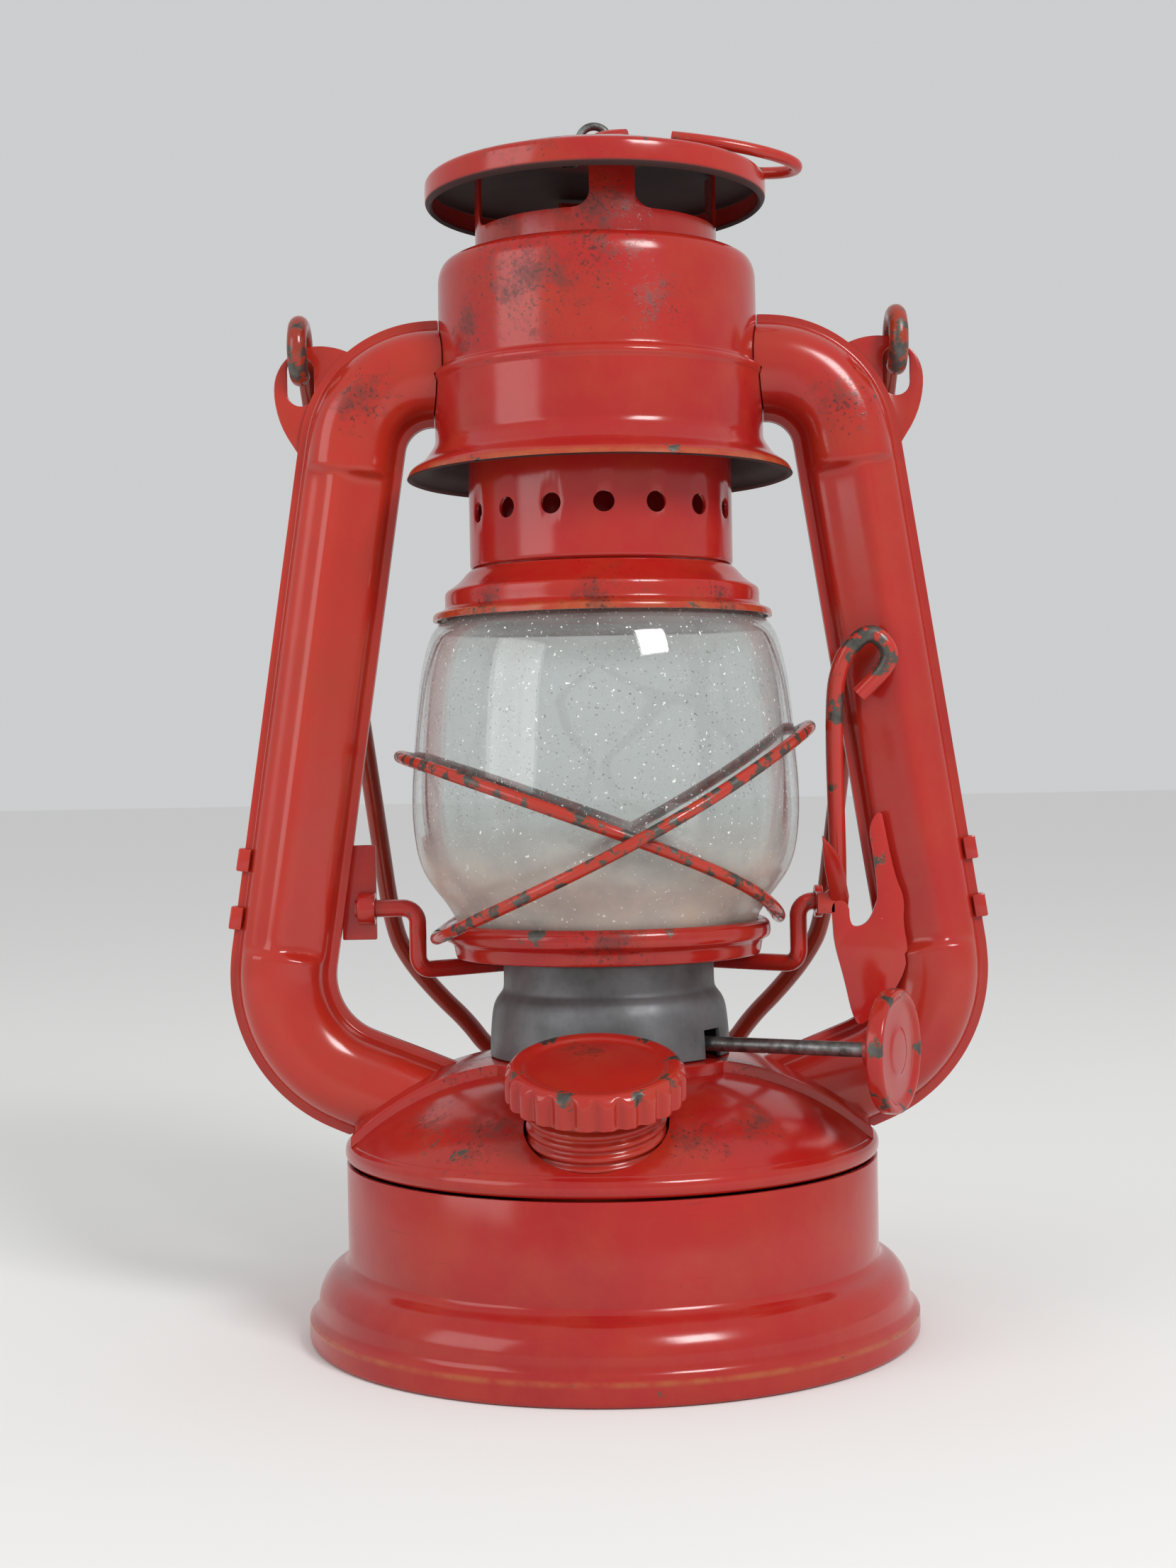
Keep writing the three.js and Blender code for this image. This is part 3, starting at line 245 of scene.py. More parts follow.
    # The paint lies in a fine peel, specks stand on it and chips go through it
    relief = 0.0
    for share, rise in ((grain["peel"], 0.25), (specks, 0.2), (primer, -0.9)):
        relief = node("Math", {0: share, 1: rise, 2: relief}, operation="MULTIPLY_ADD")
    bump = node("Bump", {"Strength": 0.35, "Distance": 0.00012, "Height": relief})
    values = {"Base Color": colour, "Roughness": roughness, "IOR": 1.5, "Normal": bump}
    values["Metallic"] = node("Math", {0: bare, 1: 0.75}, operation="MULTIPLY")
    node("OutputMaterial", {"Surface": node("BsdfPrincipled", values)})
    return material


def eased(points, passes=2):
    """A line with its corners cut back evenly. A point given twice keeps its corner."""
    for _ in range(passes):
        cut_back = [Vector(points[0])]
        for start, end in zip(points, points[1:]):
            cut_back += [Vector(start).lerp(Vector(end), 0.25), Vector(start).lerp(Vector(end), 0.75)]
        points = cut_back + [Vector(points[-1])]
    return points


def turned(profile, steps=128, closed=False):
    """A skin spun round the lantern's axis from a profile of radius and height."""
    mesh = bmesh.new()
    corners = [mesh.verts.new((radius, 0, height)) for radius, height in profile]
    edges = [mesh.edges.new(pair) for pair in zip(corners, corners[1:]) if pair[0].co != pair[1].co]
    if closed:
        edges.append(mesh.edges.new((corners[-1], corners[0])))
    bmesh.ops.spin(mesh, geom=corners + edges, axis=(0, 0, 1), angle=2 * math.pi, steps=steps, use_merge=True)
    bmesh.ops.remove_doubles(mesh, verts=mesh.verts, dist=0.002)
    bmesh.ops.recalc_face_normals(mesh, faces=mesh.faces)
    outward = 0
    for face in mesh.faces:
        middle = face.calc_center_median()
        outward += face.normal.x * middle.x + face.normal.y * middle.y
    if outward < 0 and not closed:
        bmesh.ops.reverse_faces(mesh, faces=mesh.faces)
    return mesh


def spread(shares, inner, outer, low, high):
    """Shares of a radius step and of a height step as points."""
    return [(inner + out * (outer - inner), low + up * (high - low)) for out, up in shares]


def as_object(name, mesh):
    """A bmesh in millimetres as an object in metres."""
    bmesh.ops.scale(mesh, vec=(0.001, 0.001, 0.001), verts=mesh.verts)
    data = bpy.data.meshes.new(name)
    mesh.to_mesh(data)
    mesh.free()
    made = bpy.data.objects.new(name, data)
    bpy.context.collection.objects.link(made)
    return made


def piece(name, mesh, material, body, stands_for=(), wall=0, refine=0, cutters=(), soften=0, crease=35):
    """A finished piece: a skin refined, given its wall, cut, and softened along its edges."""
    made = mesh if isinstance(mesh, bpy.types.Object) else as_object(name, mesh)
    if refine:
        smooth = made.modifiers.new("smooth", "SUBSURF")
        smooth.levels = smooth.render_levels = refine
    if wall:
        thicken = made.modifiers.new("wall", "SOLIDIFY")
        thicken.thickness = wall / 1000
        thicken.offset = -1
        thicken.use_even_offset = True
    tools = [as_object("cutter", cutter) for cutter in cutters]
    for tool in tools:
        cut = made.modifiers.new("cut", "BOOLEAN")
        cut.operation = "DIFFERENCE"
        cut.solver = "EXACT"
        cut.object = tool
    if soften:
        bevel = made.modifiers.new("soft edges", "BEVEL")
        bevel.width = soften / 1000
        bevel.segments = 2
        bevel.limit_method = "ANGLE"
        bevel.angle_limit = math.radians(40)
    bpy.context.view_layer.update()
    final = bpy.data.meshes.new_from_object(made.evaluated_get(bpy.context.evaluated_depsgraph_get()))
    made.modifiers.clear()
    made.data = final
    final.name = name
    for tool in tools:
        bpy.data.objects.remove(tool)
    final.materials.clear()
    final.materials.append(material)
    final.polygons.foreach_set("use_smooth", [True] * len(final.polygons))
    final.set_sharp_from_angle(angle=math.radians(crease))
    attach(made, body)
    if stands_for:
        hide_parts(*stands_for)


foot_radius, foot_height = 52.5, 13.5
drum_radius, drum_top = 45.7, 30
foot_shares = [
    (0.62, 0), (0.62, 0), (0.9, 0), (1, 0.03), (1, 0.12), (1, 0.28), (1, 0.28), (0.93, 0.31),
    (0.8, 0.36), (0.76, 0.45), (0.74, 0.6), (0.62, 0.74), (0.42, 0.86), (0.1, 0.93), (0, 1), (0, 1.04),
]
drum_line = eased(spread(foot_shares, drum_radius, foot_radius, 0, foot_height))
drum_line.append(Vector((drum_radius, drum_top)))
drum_paint = red_paint(
    "red gloss paint, fount drum",
    chips=0.8,
    rims=[(foot_radius, 3.8, 0.8)],
    spots=[(6, -52, 2, 3)],
    scratches=0.5,
)
piece(
    "fount_drum_skin", turned(drum_line, 160), drum_paint, "lantern", ["fount_drum"], wall=sheet,
    soften=0.12,
)

# Fount dome: the domed tinplate lid of the tank, rolled over the drum's edge into a bead.
# Dirt and lamp oil have stained it round the filler.
rim_low, rim_high, rim_radius = 30.3, 33.6, 45
dome_rise, dome_mouth, dome_fullness = 12, 17, 0.9


def dome_height(radius):
    """Height of the dome's outer face."""
    share = min(max((radius - dome_mouth) / (rim_radius - dome_mouth), 0), 1)
    return rim_high + dome_rise * (1 - share * share) ** dome_fullness


roll_line = eased([
    (44.4, 30.6), (rim_radius, rim_low), (45.75, 30.9), (45.98, 31.9), (45.8, 33.0), (45.1, rim_high),
    (44.9, 33.9),
])
dome_line = list(roll_line)
for i in range(2, 25):
    reach = dome_mouth + (rim_radius - dome_mouth) * math.cos(i * math.pi / 48)
    dome_line.append(Vector((reach, dome_height(reach))))
filler_place = Matrix.Translation((-2.4, -33.8, 39.5)) @ Matrix.Rotation(math.radians(15), 4, "X")


def placed(mesh, matrix):
    """A mesh moved by a matrix."""
    bmesh.ops.transform(mesh, matrix=matrix, verts=mesh.verts)
    return mesh


neck_bore = 11.6
filler_hole = placed(turned([(0, -12), (neck_bore, -12), (neck_bore, 8), (0, 8)], 64), filler_place)
dome_paint = red_paint(
    "red gloss paint, fount dome",
    chips=0.79,
    grime=[(-22, -34, 40, 14), (14, -38, 40, 12), (-6, -20, 45, 14), (-30, -22, 40, 10), (24, -30, 40, 9)],
    spots=[(-30, -30, 38, 5), (-24, -36, 36, 4)],
)
piece(
    "fount_dome_skin", turned(dome_line, 160), dome_paint, "lantern", ["fount_dome"], wall=sheet,
    cutters=[filler_hole],
)

# Fount bottom: a shallow dished tinplate plate that closes the tank. It is soldered inside
# the foot, and its paint is rubbed thin.
bottom_line = eased([(0, 3), (0, 3), (44, 3), (46.2, 2.9), (48.5, 1.2), (51.2, 1.0), (51.2, 1.0)])
bottom_skin = turned(bottom_line, 96)
bmesh.ops.reverse_faces(bottom_skin, faces=bottom_skin.faces)
bottom_paint = red_paint("thin red paint, fount bottom", chips=0.62, deep=0x8A1F1A, bright=0xA6382A)
piece(
    "fount_bottom_plate", bottom_skin, bottom_paint, "lantern", ["fount_bottom"], wall=-sheet
)

# Filler cap: a fluted tinplate head pressed over a threaded sleeve, drawn half out of the
# tank. The paint is worn to brown metal along the flutes' top edge.
cap_radius, skirt_bore = 14.4, 13.2
flutes, flute_depth, flute_sharpness = 24, 0.95, 1.6
head_profile = [
    (0, 10.45), (0, 10.45), (10.3, 10.45), (11.0, 10.55), (11.5, 11.1), (12.4, 11.2), (13.1, 11.15),
    (14.0, 10.4), (14.4, 9.4), (14.4, 8.0), (14.4, 6.2), (14.3, 5.7), (14.0, 5.7), (13.4, 5.7),
    (skirt_bore, 6.0), (skirt_bore, 6.4), (skirt_bore, 9.9), (skirt_bore, 9.9), (0, 9.9), (0, 9.9),
]
head = turned(eased(head_profile), flutes * 10)
for corner in head.verts:
    reach = math.hypot(corner.co.x, corner.co.y)
    angle = math.atan2(corner.co.y, corner.co.x)
    groove = cap_radius - flute_depth * (0.5 + 0.5 * math.cos(flutes * angle)) ** flute_sharpness
    if reach > groove > skirt_bore + 0.05:
        corner.co.xy *= groove / reach
worn_rim = []
for angle in (0.2, 0.9, 2.2, 3.4, 4.3, 5.2, 5.8):
    along, up = math.cos(angle), math.sin(angle)
    worn_rim.append((-2.4 + 13 * along, -37 + 12.6 * up, 50 + 3.4 * up, 3.4))
cap_paint = red_paint(
    "red gloss paint, filler cap", chips=0.735, spots=worn_rim, grime=[(-4, -30, 52, 8)], bright=0xC23020
)
placed(head, filler_place)
piece("filler_cap_fluted_head", head, cap_paint, "filler_cap", ["filler_cap_head"], crease=50)

thread_pitch, thread_radius, thread_depth = 1.9, 11.2, 0.75
sleeve_bore, sleeve_low, sleeve_high = 9.9, -7, 9.15
thread_end, thread_fade, thread_sharpness = 5.6, 1.2, 1.4
sleeve_line = [(sleeve_bore, sleeve_low)]
sleeve_steps = round(10 * (sleeve_high - sleeve_low) / thread_pitch)
for i in range(sleeve_steps + 1):
    sleeve_line.append((thread_radius, sleeve_low + i * thread_pitch / 10))
sleeve_line.append((sleeve_bore, sleeve_high))
sleeve = turned(sleeve_line, 96, closed=True)
for corner in sleeve.verts:
    reach = math.hypot(corner.co.x, corner.co.y)
    if reach > sleeve_bore + 0.1:
        phase = corner.co.z / thread_pitch - math.atan2(corner.co.y, corner.co.x) / (2 * math.pi)
        cut = min(max((thread_end - corner.co.z) / thread_fade, 0), 1)
        valley = (0.5 - 0.5 * math.cos(2 * math.pi * phase)) ** thread_sharpness
        corner.co.xy *= (thread_radius - thread_depth * (1 - cut + cut * valley)) / reach
placed(sleeve, filler_place)
piece("filler_cap_thread", sleeve, cap_paint, "filler_cap", ["filler_cap_sleeve"], crease=60)

# Filler collar: a tinplate neck soldered under the dome, which the cap's sleeve screws into.
# It is left plain inside, where its thread wouldn't be seen.
neck_radius, neck_low, neck_high = 12.3, -10, -3.2
neck_section = [
    (neck_bore, neck_low), (neck_radius, neck_low), (neck_radius, neck_high), (neck_bore, neck_high)
]
collar = turned(neck_section, 64, closed=True)
piece("filler_neck", placed(collar, filler_place), bottom_paint, "lantern", ["filler_collar"])


# Filler gasket: a washer stamped from sheet cork and pushed up inside the head. It is dark
# with oil where it has been pressed.
def plain_finish(name, colour, dark, size, roughness, metallic=0.0, relief=0.2):
    """A finish of one stuff mottled between two tones, with a relief of the same grain."""
    material, node = new_material(name)
    coords = node("TexCoord").outputs["Object"]
    place = node("Mapping", {"Vector": coords, "Scale": (1000, 1000, 1000)})
    grain = node("TexNoise", {"Vector": place, "Scale": 1 / size, "Detail": 5.0, "Roughness": 0.6})
    share = node("MapRange", {"Value": grain, "From Min": 0.35, "From Max": 0.7})
    shade = node("Mix", {0: share, 6: linear(dark), 7: linear(colour)}, data_type="RGBA").outputs[2]
    span = {"From Min": 0.3, "From Max": 0.75, "To Min": roughness + 0.12, "To Max": roughness - 0.05}
    dullness = node("MapRange", {"Value": grain, **span})
    bump = node("Bump", {"Strength": relief, "Distance": 0.0001, "Height": grain})
    values = {"Base Color": shade, "Metallic": metallic, "Roughness": dullness, "Normal": bump}
    if metallic < 0.5:
        values["IOR"] = 1.5
    node("OutputMaterial", {"Surface": node("BsdfPrincipled", values)})
    return material


# Cork is matt, with dark specks and a pitted surface
cork = plain_finish("oiled cork", 0xA8825A, 0x5E4128, 0.9, 0.85, relief=0.6)
washer_section = [(11.5, 6.4), (11.5, 6.15), (12.9, 6.15), (12.9, 6.4), (12.9, 9.1), (11.5, 9.1), (11.5, 6.4)]
gasket = turned(eased(washer_section), 64)
piece("filler_cork_washer", placed(gasket, filler_place), cork, "filler_washer", ["filler_gasket"])

# Air gallery: a shallow tray pressed from tinplate that lies upside down across the dome and
# carries air from the side tubes to the burner. It is soldered along its edges.
gallery_rise, gallery_half, gallery_end, gallery_ring = 1.9, 11.8, 44, 22.5
cap_centre, cap_room = Vector((-2.4, -35.6)), 15.7


def gallery_reach(angle):
    """How far the tray runs from the axis in a direction."""
    heading = Vector((math.cos(angle), math.sin(angle)))
    to_end = gallery_end / max(abs(heading.x), 0.001)
    to_side = gallery_half / max(abs(heading.y), 0.001)
    reach = max(min(to_end, to_side), gallery_ring)
    while reach > dome_mouth + 0.5 and (heading * reach - cap_centre).length < cap_room:
        reach -= 0.1
    return reach


tray = bmesh.new()
tray_shares = eased([(0, 0, 1), (0.5, 0, 1), (0.9, 0, 1), (0.985, 0, 1), (1, 0, 0.85), (1, 0, -0.1)])
tray_corners = [tray.verts.new((1 + share.x, 0, share.z)) for share in tray_shares]
tray_edges = [tray.edges.new(pair) for pair in zip(tray_corners, tray_corners[1:])]
tray_line = tray_corners + tray_edges
bmesh.ops.spin(tray, geom=tray_line, axis=(0, 0, 1), angle=2 * math.pi, steps=360, use_merge=True)
for corner in tray.verts:
    angle = math.atan2(corner.co.y, corner.co.x)
    share = math.hypot(corner.co.x, corner.co.y) - 1
    reach = dome_mouth + share * (gallery_reach(angle) - dome_mouth)
    height = dome_height(reach) + gallery_rise * corner.co.z
    corner.co = Vector((reach * math.cos(angle), reach * math.sin(angle), height))
bmesh.ops.recalc_face_normals(tray, faces=tray.faces)
if sum(face.normal.z for face in tray.faces) < 0:
    bmesh.ops.reverse_faces(tray, faces=tray.faces)
tray_paint = red_paint(
    "red gloss paint, air gallery", chips=0.78, grime=[(-24, -8, 44, 14), (22, -14, 44, 10)]
)
piece("air_gallery_tray", tray, tray_paint, "lantern", ["air_gallery"], wall=0.6)

# Burner housing: an unpainted tinplate cup over the burner, spread at its foot and open below,
# dull grey with old oil. The wick shaft passes through a notch in its side.
# Tinplate under a film of old oil looks half metallic, with broad soft stains
tin = plain_finish("dull oiled tinplate", 0x77787A, 0x5C5D5E, 9.0, 0.46, metallic=0.55, relief=0.12)
housing_shares = [
    (1, 0), (1, 0), (0.97, 0.2), (0.8, 0.48), (0.55, 0.58), (0.3, 0.63), (0.05, 0.68), (0, 0.75), (0, 0.97),
    (-0.1, 1),
]
housing_top = 64
housing_line = eased(spread(housing_shares, 18.2, 20.7, 47.57, housing_top))
housing_line += [Vector((17.6, housing_top)), Vector((16, housing_top))]
burner_turn = Matrix.Rotation(math.radians(-26), 4, "Z")
along_x = Matrix.Rotation(math.radians(90), 4, "Y")
shaft_place = burner_turn @ Matrix.Translation((0, -2.3, 49.9)) @ along_x


def block(x, y, z, turn=Matrix.Identity(4)):
    """A box between limits on each axis."""
    mesh = bmesh.new()
    bmesh.ops.create_cube(mesh, size=1)
    spans = [high - low for low, high in (x, y, z)]
    middles = [(low + high) / 2 for low, high in (x, y, z)]
    bmesh.ops.scale(mesh, vec=spans, verts=mesh.verts)
    bmesh.ops.translate(mesh, vec=middles, verts=mesh.verts)
    return placed(mesh, turn)


notch = block((14, 23), (-4.8, 0.2), (40, 52.4), burner_turn)
piece(
    "burner_housing_cup", turned(housing_line), tin, "lantern", ["burner_housing"], wall=sheet,
    cutters=[notch], soften=0.1,
)

# Burner base and collar: a brass disc with a skirt in the tank's mouth, and two ears that
# hold the wick shaft. They show only through the housing's notch.
# Tarnish darkens brass in small brown patches and leaves a low shine between them
brass = plain_finish("tarnished brass", 0xB08E4C, 0x5B4424, 3.0, 0.38, metallic=0.9, relief=0.15)
base_line = [(15.1, 42.5), (15.1, 46.7), (0, 46.7), (0, 45.9), (14.3, 45.9), (14.3, 42.5)]
wick_hole = block((-6.2, 6.2), (0.0, 3.6), (40, 50), burner_turn)
base = turned([*base_line, base_line[0]], 96)
piece("burner_base_disc", base, brass, "lantern", ["burner_base"], cutters=[wick_hole], soften=0.1)
for name, along in (("burner_ear_left", -6), ("burner_ear_right", 6)):
    ear = block((along - 0.4, along + 0.4), (-4.65, 0.1), (46.6, 52.2), burner_turn)
    bearing = turned([(0, -20), (1.5, -20), (1.5, 20), (0, 20)], 24)
    placed(bearing, shaft_place)
    piece(name, ear, brass, "lantern", cutters=[bearing], soften=0.15)
collar_ring = turned([(15.4, 42.5), (16.7, 42.5), (16.7, 45.6), (15.4, 45.6)], 96, closed=True)
piece("burner_mouth_ring", collar_ring, brass, "lantern", ["burner_collar"], soften=0.15)

# Wick and its tube: a flat brass tube with a window for the wheels, and a flat woven cotton
# wick. The wick is ribbed along its length, cream below and charred at the top.
wick_tube = block((-5.9, 5.9), (0.0, 3.6), (38, 75), burner_turn)
tube_space = block((-5.3, 5.3), (0.6, 3.0), (30, 80), burner_turn)
window = block((-3.8, 3.8), (-1, 1.8), (47, 52.8), burner_turn)
piece(
    "wick_flat_tube", wick_tube, brass, "lantern", ["wick_tube"], cutters=[tube_space, window],
    soften=0.2,
)

# Cotton is matt and creamy, with a thread every 0.6 mm or so
wick_cotton, node = new_material("woven cotton wick")
coords = node("TexCoord").outputs["Object"]
place = node("Mapping", {"Vector": coords, "Scale": (1000, 1000, 1000)})
height = node("SeparateXYZ", {0: place}).outputs["Z"]
weave = node(
    "TexWave", {"Vector": place, "Scale": 0.5, "Distortion": 1.5, "Detail": 2.0}, bands_direction="Z"
).outputs[1]
frayed = node("TexNoise", {"Vector": place, "Scale": 1.4, "Detail": 4.0})
char = node("Math", {0: frayed, 1: 3.0, 2: height}, operation="MULTIPLY_ADD")
burnt = node("MapRange", {"Value": char, "From Min": 75.5, "From Max": 78.0})
cloth = node("Mix", {0: weave, 6: linear(0xA8946C), 7: linear(0xDCD2B6)}, data_type="RGBA").outputs[2]
tint = node("Mix", {0: burnt, 6: cloth, 7: linear(0x17130F)}, data_type="RGBA").outputs[2]
bump = node("Bump", {"Strength": 0.6, "Distance": 0.0003, "Height": weave})
shader = node("BsdfPrincipled", {"Base Color": tint, "Roughness": 0.95, "IOR": 1.5, "Normal": bump})
node("OutputMaterial", {"Surface": shader})
wick = block((-5, 5), (0.9, 2.7), (9, 77), burner_turn)
bmesh.ops.subdivide_edges(wick, edges=wick.edges, cuts=9, use_grid_fill=True)
wick_middle, rib_spacing, rib_depth = 1.8, 1.1, 0.14
for corner in wick.verts:
    flat = burner_turn.inverted() @ corner.co
    swell = 1 - rib_depth + rib_depth * abs(math.cos(flat.x * math.pi / rib_spacing))
    flat.y = wick_middle + (flat.y - wick_middle) * swell
    corner.co = burner_turn @ flat
piece("wick_woven", wick, wick_cotton, "wick_tape", ["wick"], refine=1, crease=80)

# Wick wheels: two small toothed wheels stamped from steel sheet and fixed on the shaft.
# They drive the wick through its tube's window.
# Bare steel that has dulled is grey and smooth, with darker spots
steel = plain_finish("dull steel", 0x9A9B9C, 0x55534F, 2.0, 0.38, metallic=0.95, relief=0.15)
wheel_bore, wheel_radius, wheel_half, tooth_root, teeth = 1.55, 2.9, 0.7, 2.25, 8
for name, along in (("wick_wheel_left", -2.8), ("wick_wheel_right", 2.8)):
    near, far = along - wheel_half, along + wheel_half
    wheel_section = [(wheel_bore, near), (wheel_radius, near), (wheel_radius, far), (wheel_bore, far)]
    wheel = turned(wheel_section, 64, closed=True)
    for corner in wheel.verts:
        reach = math.hypot(corner.co.x, corner.co.y)
        angle = math.atan2(corner.co.y, corner.co.x)
        if reach > tooth_root and math.cos(teeth * angle) < 0:
            corner.co.xy *= tooth_root / reach
    placed(wheel, shaft_place)
    piece(name + "_toothed", wheel, steel, "wick_drive", [name], soften=0.08)

# Wick shaft and knob: a steel rod out to the right, riveted into a pressed disc with a
# turned-over rim and a plain dished face. The knob's rim is worn to brown.
shaft_line = eased([(0, -9), (1.0, -9), (1.25, -8.8), (1.25, -8.8), (1.25, 52.0), (1.25, 52.0), (0, 52)], 1)
shaft = turned(shaft_line, 32)
placed(shaft, shaft_place)
piece("wick_shaft_rod", shaft, steel, "wick_drive", ["wick_shaft"])
knob_profile = [
    (1.55, 47.8), (1.55, 47.8), (2.75, 47.8), (2.75, 47.8), (2.75, 50.9), (3.3, 51.25), (8.6, 51.2),
    (9.3, 50.85), (10.0, 50.9), (10.2, 51.5), (10.2, 52.9), (10.05, 53.6), (9.5, 53.8), (8.9, 53.6),
    (8.3, 53.05), (7.6, 52.95), (4.2, 53.0), (3.6, 53.25), (3.0, 53.3), (0, 53.35), (0, 53.35),
]
knob = placed(turned([*eased(knob_profile), (0, 52.3), (1.55, 52.3), (1.55, 47.8)], 96), shaft_place)
worn_rim = []
worn_radius, worn_along, worn_reach = 9.9, 52.8, 3.6
for angle in (0.1, 0.7, 1.5, 2.3, 3.1, 3.7, 4.6, 5.5):
    spot = shaft_place @ Vector((worn_radius * math.cos(angle), worn_radius * math.sin(angle), worn_along))
    worn_rim.append((*spot, worn_reach))
knob_paint = red_paint("red gloss paint, wick knob", chips=0.74, spots=worn_rim, bright=0xC62A20)
piece("wick_knob_disc", knob, knob_paint, "wick_drive", ["wick_knob"], crease=60)

# Burner cone: a domed cap pressed from thin brass that draws air to the flame through one
# long slot. Heat has browned it.
# Heat turns brass brown in broad patches and takes most of its shine
heat_brass = plain_finish("heat-browned brass", 0x8C6B35, 0x33261A, 6.0, 0.42, metallic=0.85, relief=0.15)
cone_shares = [
    (1, 0), (1, 0), (0.99, 0.22), (0.97, 0.42), (0.91, 0.56), (0.82, 0.69), (0.62, 0.86), (0.31, 0.97),
    (0, 1), (0, 1),
]
globe_seat = 65.3
cone_line = eased(spread(cone_shares, 0, 19.5, globe_seat, 82.4))
flame_slot = block((-6.5, 6.5), (-0.5, 4.1), (76, 90), burner_turn)
piece(
    "burner_cone_cap", turned(cone_line), heat_brass, "globe_carriage", ["burner_cone"], wall=sheet,
    cutters=[flame_slot], soften=0.1,
)

# Side tubes: each is two long tinplate pressings, front and rear, seamed along flat flanges. A
# ridge runs down the straight part and stops at the elbows. The rear one's flange is folded
# over in tabs.
tube_lean = math.radians(8.63)
tube_low_bend, tube_top_bend = 19.5, 14
waist_x, waist_height = 43.1, 150.7
foot_slope, foot_length = math.radians(22), 24
low_bend_end, tube_top, seam_gap = 64.4, 165.3, 0.15
low_centre_height = low_bend_end - tube_low_bend * math.sin(tube_lean)
top_centre_height = tube_top - tube_top_bend
elbow_section = [
    (-9.2, 0.7), (-8.1, 0.7), (-7.65, 0.8), (-7.25, 2.4), (-6.9, 4.2), (-5.3, 6.35), (-1.6, 7.55),
    (2.4, 7.8), (5.3, 6.6), (6.9, 4.2), (7.25, 2.4), (7.65, 0.8), (8.1, 0.7), (9.2, 0.7),
]
straight_section = [
    (-9.2, 0.7), (-8.1, 0.7), (-7.65, 0.8), (-7.3, 2.6), (-6.5, 3.7), (-3.4, 4.75), (0.1, 6.9),
    (2.1, 6.95), (4.1, 5.1), (6.4, 3.9), (7.3, 2.6), (7.65, 0.8), (8.1, 0.7), (9.2, 0.7),
]


def straight_x(height):
    """Where the straight part's centreline stands at a height."""
    return waist_x + (waist_height - height) * math.tan(tube_lean)


def on_bend(centre_x, centre_height, radius, angle):
    """A point of a bend, at an angle from straight up."""
    return Vector((centre_x + radius * math.sin(angle), centre_height + radius * math.cos(angle)))


def tube_stations():
    """Centre, outward heading and share of the straight section, from the fount to the canopy."""
    low_x = straight_x(low_centre_height) - tube_low_bend / math.cos(tube_lean)
    top_x = straight_x(top_centre_height) - tube_top_bend / math.cos(tube_lean)
    stations = []
    start = math.pi - foot_slope
    for back in (foot_length, 16, 8):
        centre = on_bend(low_x, low_centre_height, tube_low_bend, start)
        stations.append((centre - back * Vector((math.cos(foot_slope), math.sin(foot_slope))), start, 0))
    bend_turn = start - (math.pi / 2 - tube_lean)
    for i in range(13):
        angle = start - bend_turn * i / 12
        stations.append((on_bend(low_x, low_centre_height, tube_low_bend, angle), angle, 0))
    upright = math.pi / 2 - tube_lean
    starting = [(64.9, 0), (65.3, 0.12), (65.8, 0.5), (66.3, 0.88), (67.2, 1)]
    running = [(height, 1) for height in (70, 80, 95, 110, 125, 138, 144)]
    ending = [(146.6, 1), (147.6, 0.88), (148.1, 0.5), (148.6, 0.12), (149.2, 0)]
    for height, share in starting + running + ending:
        stations.append((Vector((straight_x(height), height)), upright, share))
    for i in range(11):
        angle = upright * (1 - i / 10)
        stations.append((on_bend(top_x, top_centre_height, tube_top_bend, angle), angle, 0))
    stations.append((Vector((26.5, tube_top)), 0, 0))
    return stations


def tube_half(side, facing):
    """One pressing's outer skin, bridged from section to section along the tube."""
    mesh = bmesh.new()
    rows = []
    for centre, angle, share in tube_stations():
        heading = Vector((math.sin(angle), math.cos(angle)))
        corners = []
        for elbow, straight in zip(elbow_section, straight_section):
            out, deep = Vector(elbow).lerp(Vector(straight), share)
            place = centre + heading * out
            corners.append(mesh.verts.new((side * place.x, -facing * (deep + seam_gap), place.y)))
        rows.append([mesh.edges.new(pair) for pair in zip(corners, corners[1:])])
    for row, following in zip(rows, rows[1:]):
        bmesh.ops.bridge_loops(mesh, edges=row + following)
    bmesh.ops.recalc_face_normals(mesh, faces=mesh.faces)
    if sum(face.normal.y for face in mesh.faces) * facing > 0:
        bmesh.ops.reverse_faces(mesh, faces=mesh.faces)
    return mesh


def under_dome():
    """The space up to just above the dome and its tray, where a tube ends."""
    line = [(0, 20), (46.2, 20), (46.2, 32), (45.6, 33.9)]
    for i in range(2, 25):
        reach = dome_mouth + (rim_radius - dome_mouth) * math.cos(i * math.pi / 48)
        line.append((reach + 0.15, dome_height(reach) + 0.2))
    return turned([*line, (0, 45.8), (0, 20)], 96)


def inside_canopy():
    """The space up to just outside the canopy's wall."""
    line = [(0, 140), (33.5, 146.6), (28.5, 152.8), (28.5, 163.1), (28.9, 164.2), (27.6, 165.4), (27.6, 181)]
    return turned([*line, (0, 190), (0, 140)], 96)


tube_paints = {
    "left": red_paint(
        "red gloss paint, left tube", chips=0.81, deep=0x991A18, bright=0xC23322,
        spots=[(-53, -3, 165, 5), (-49, -6, 158, 4)], grime=[(-40, -7, 160, 10)],
    ),
    "right": red_paint(
        "red gloss paint, right tube", chips=0.81, deep=0x93171A, bright=0xBD2C20,
        spots=[(52, -3, 166, 5), (46, -6, 159, 4)], grime=[(42, -7, 158, 10)],
    ),
}
for name, side in (("left", -1), ("right", 1)):
    for half, facing in (("front", 1), ("rear", -1)):
        node_name = f"{name}_tube_{half}"
        skin = tube_half(side, facing)
        piece(
            node_name + "_pressing", skin, tube_paints[name], "lantern", [node_name],
            refine=2, wall=0.6, cutters=[under_dome(), inside_canopy()], crease=50,
        )

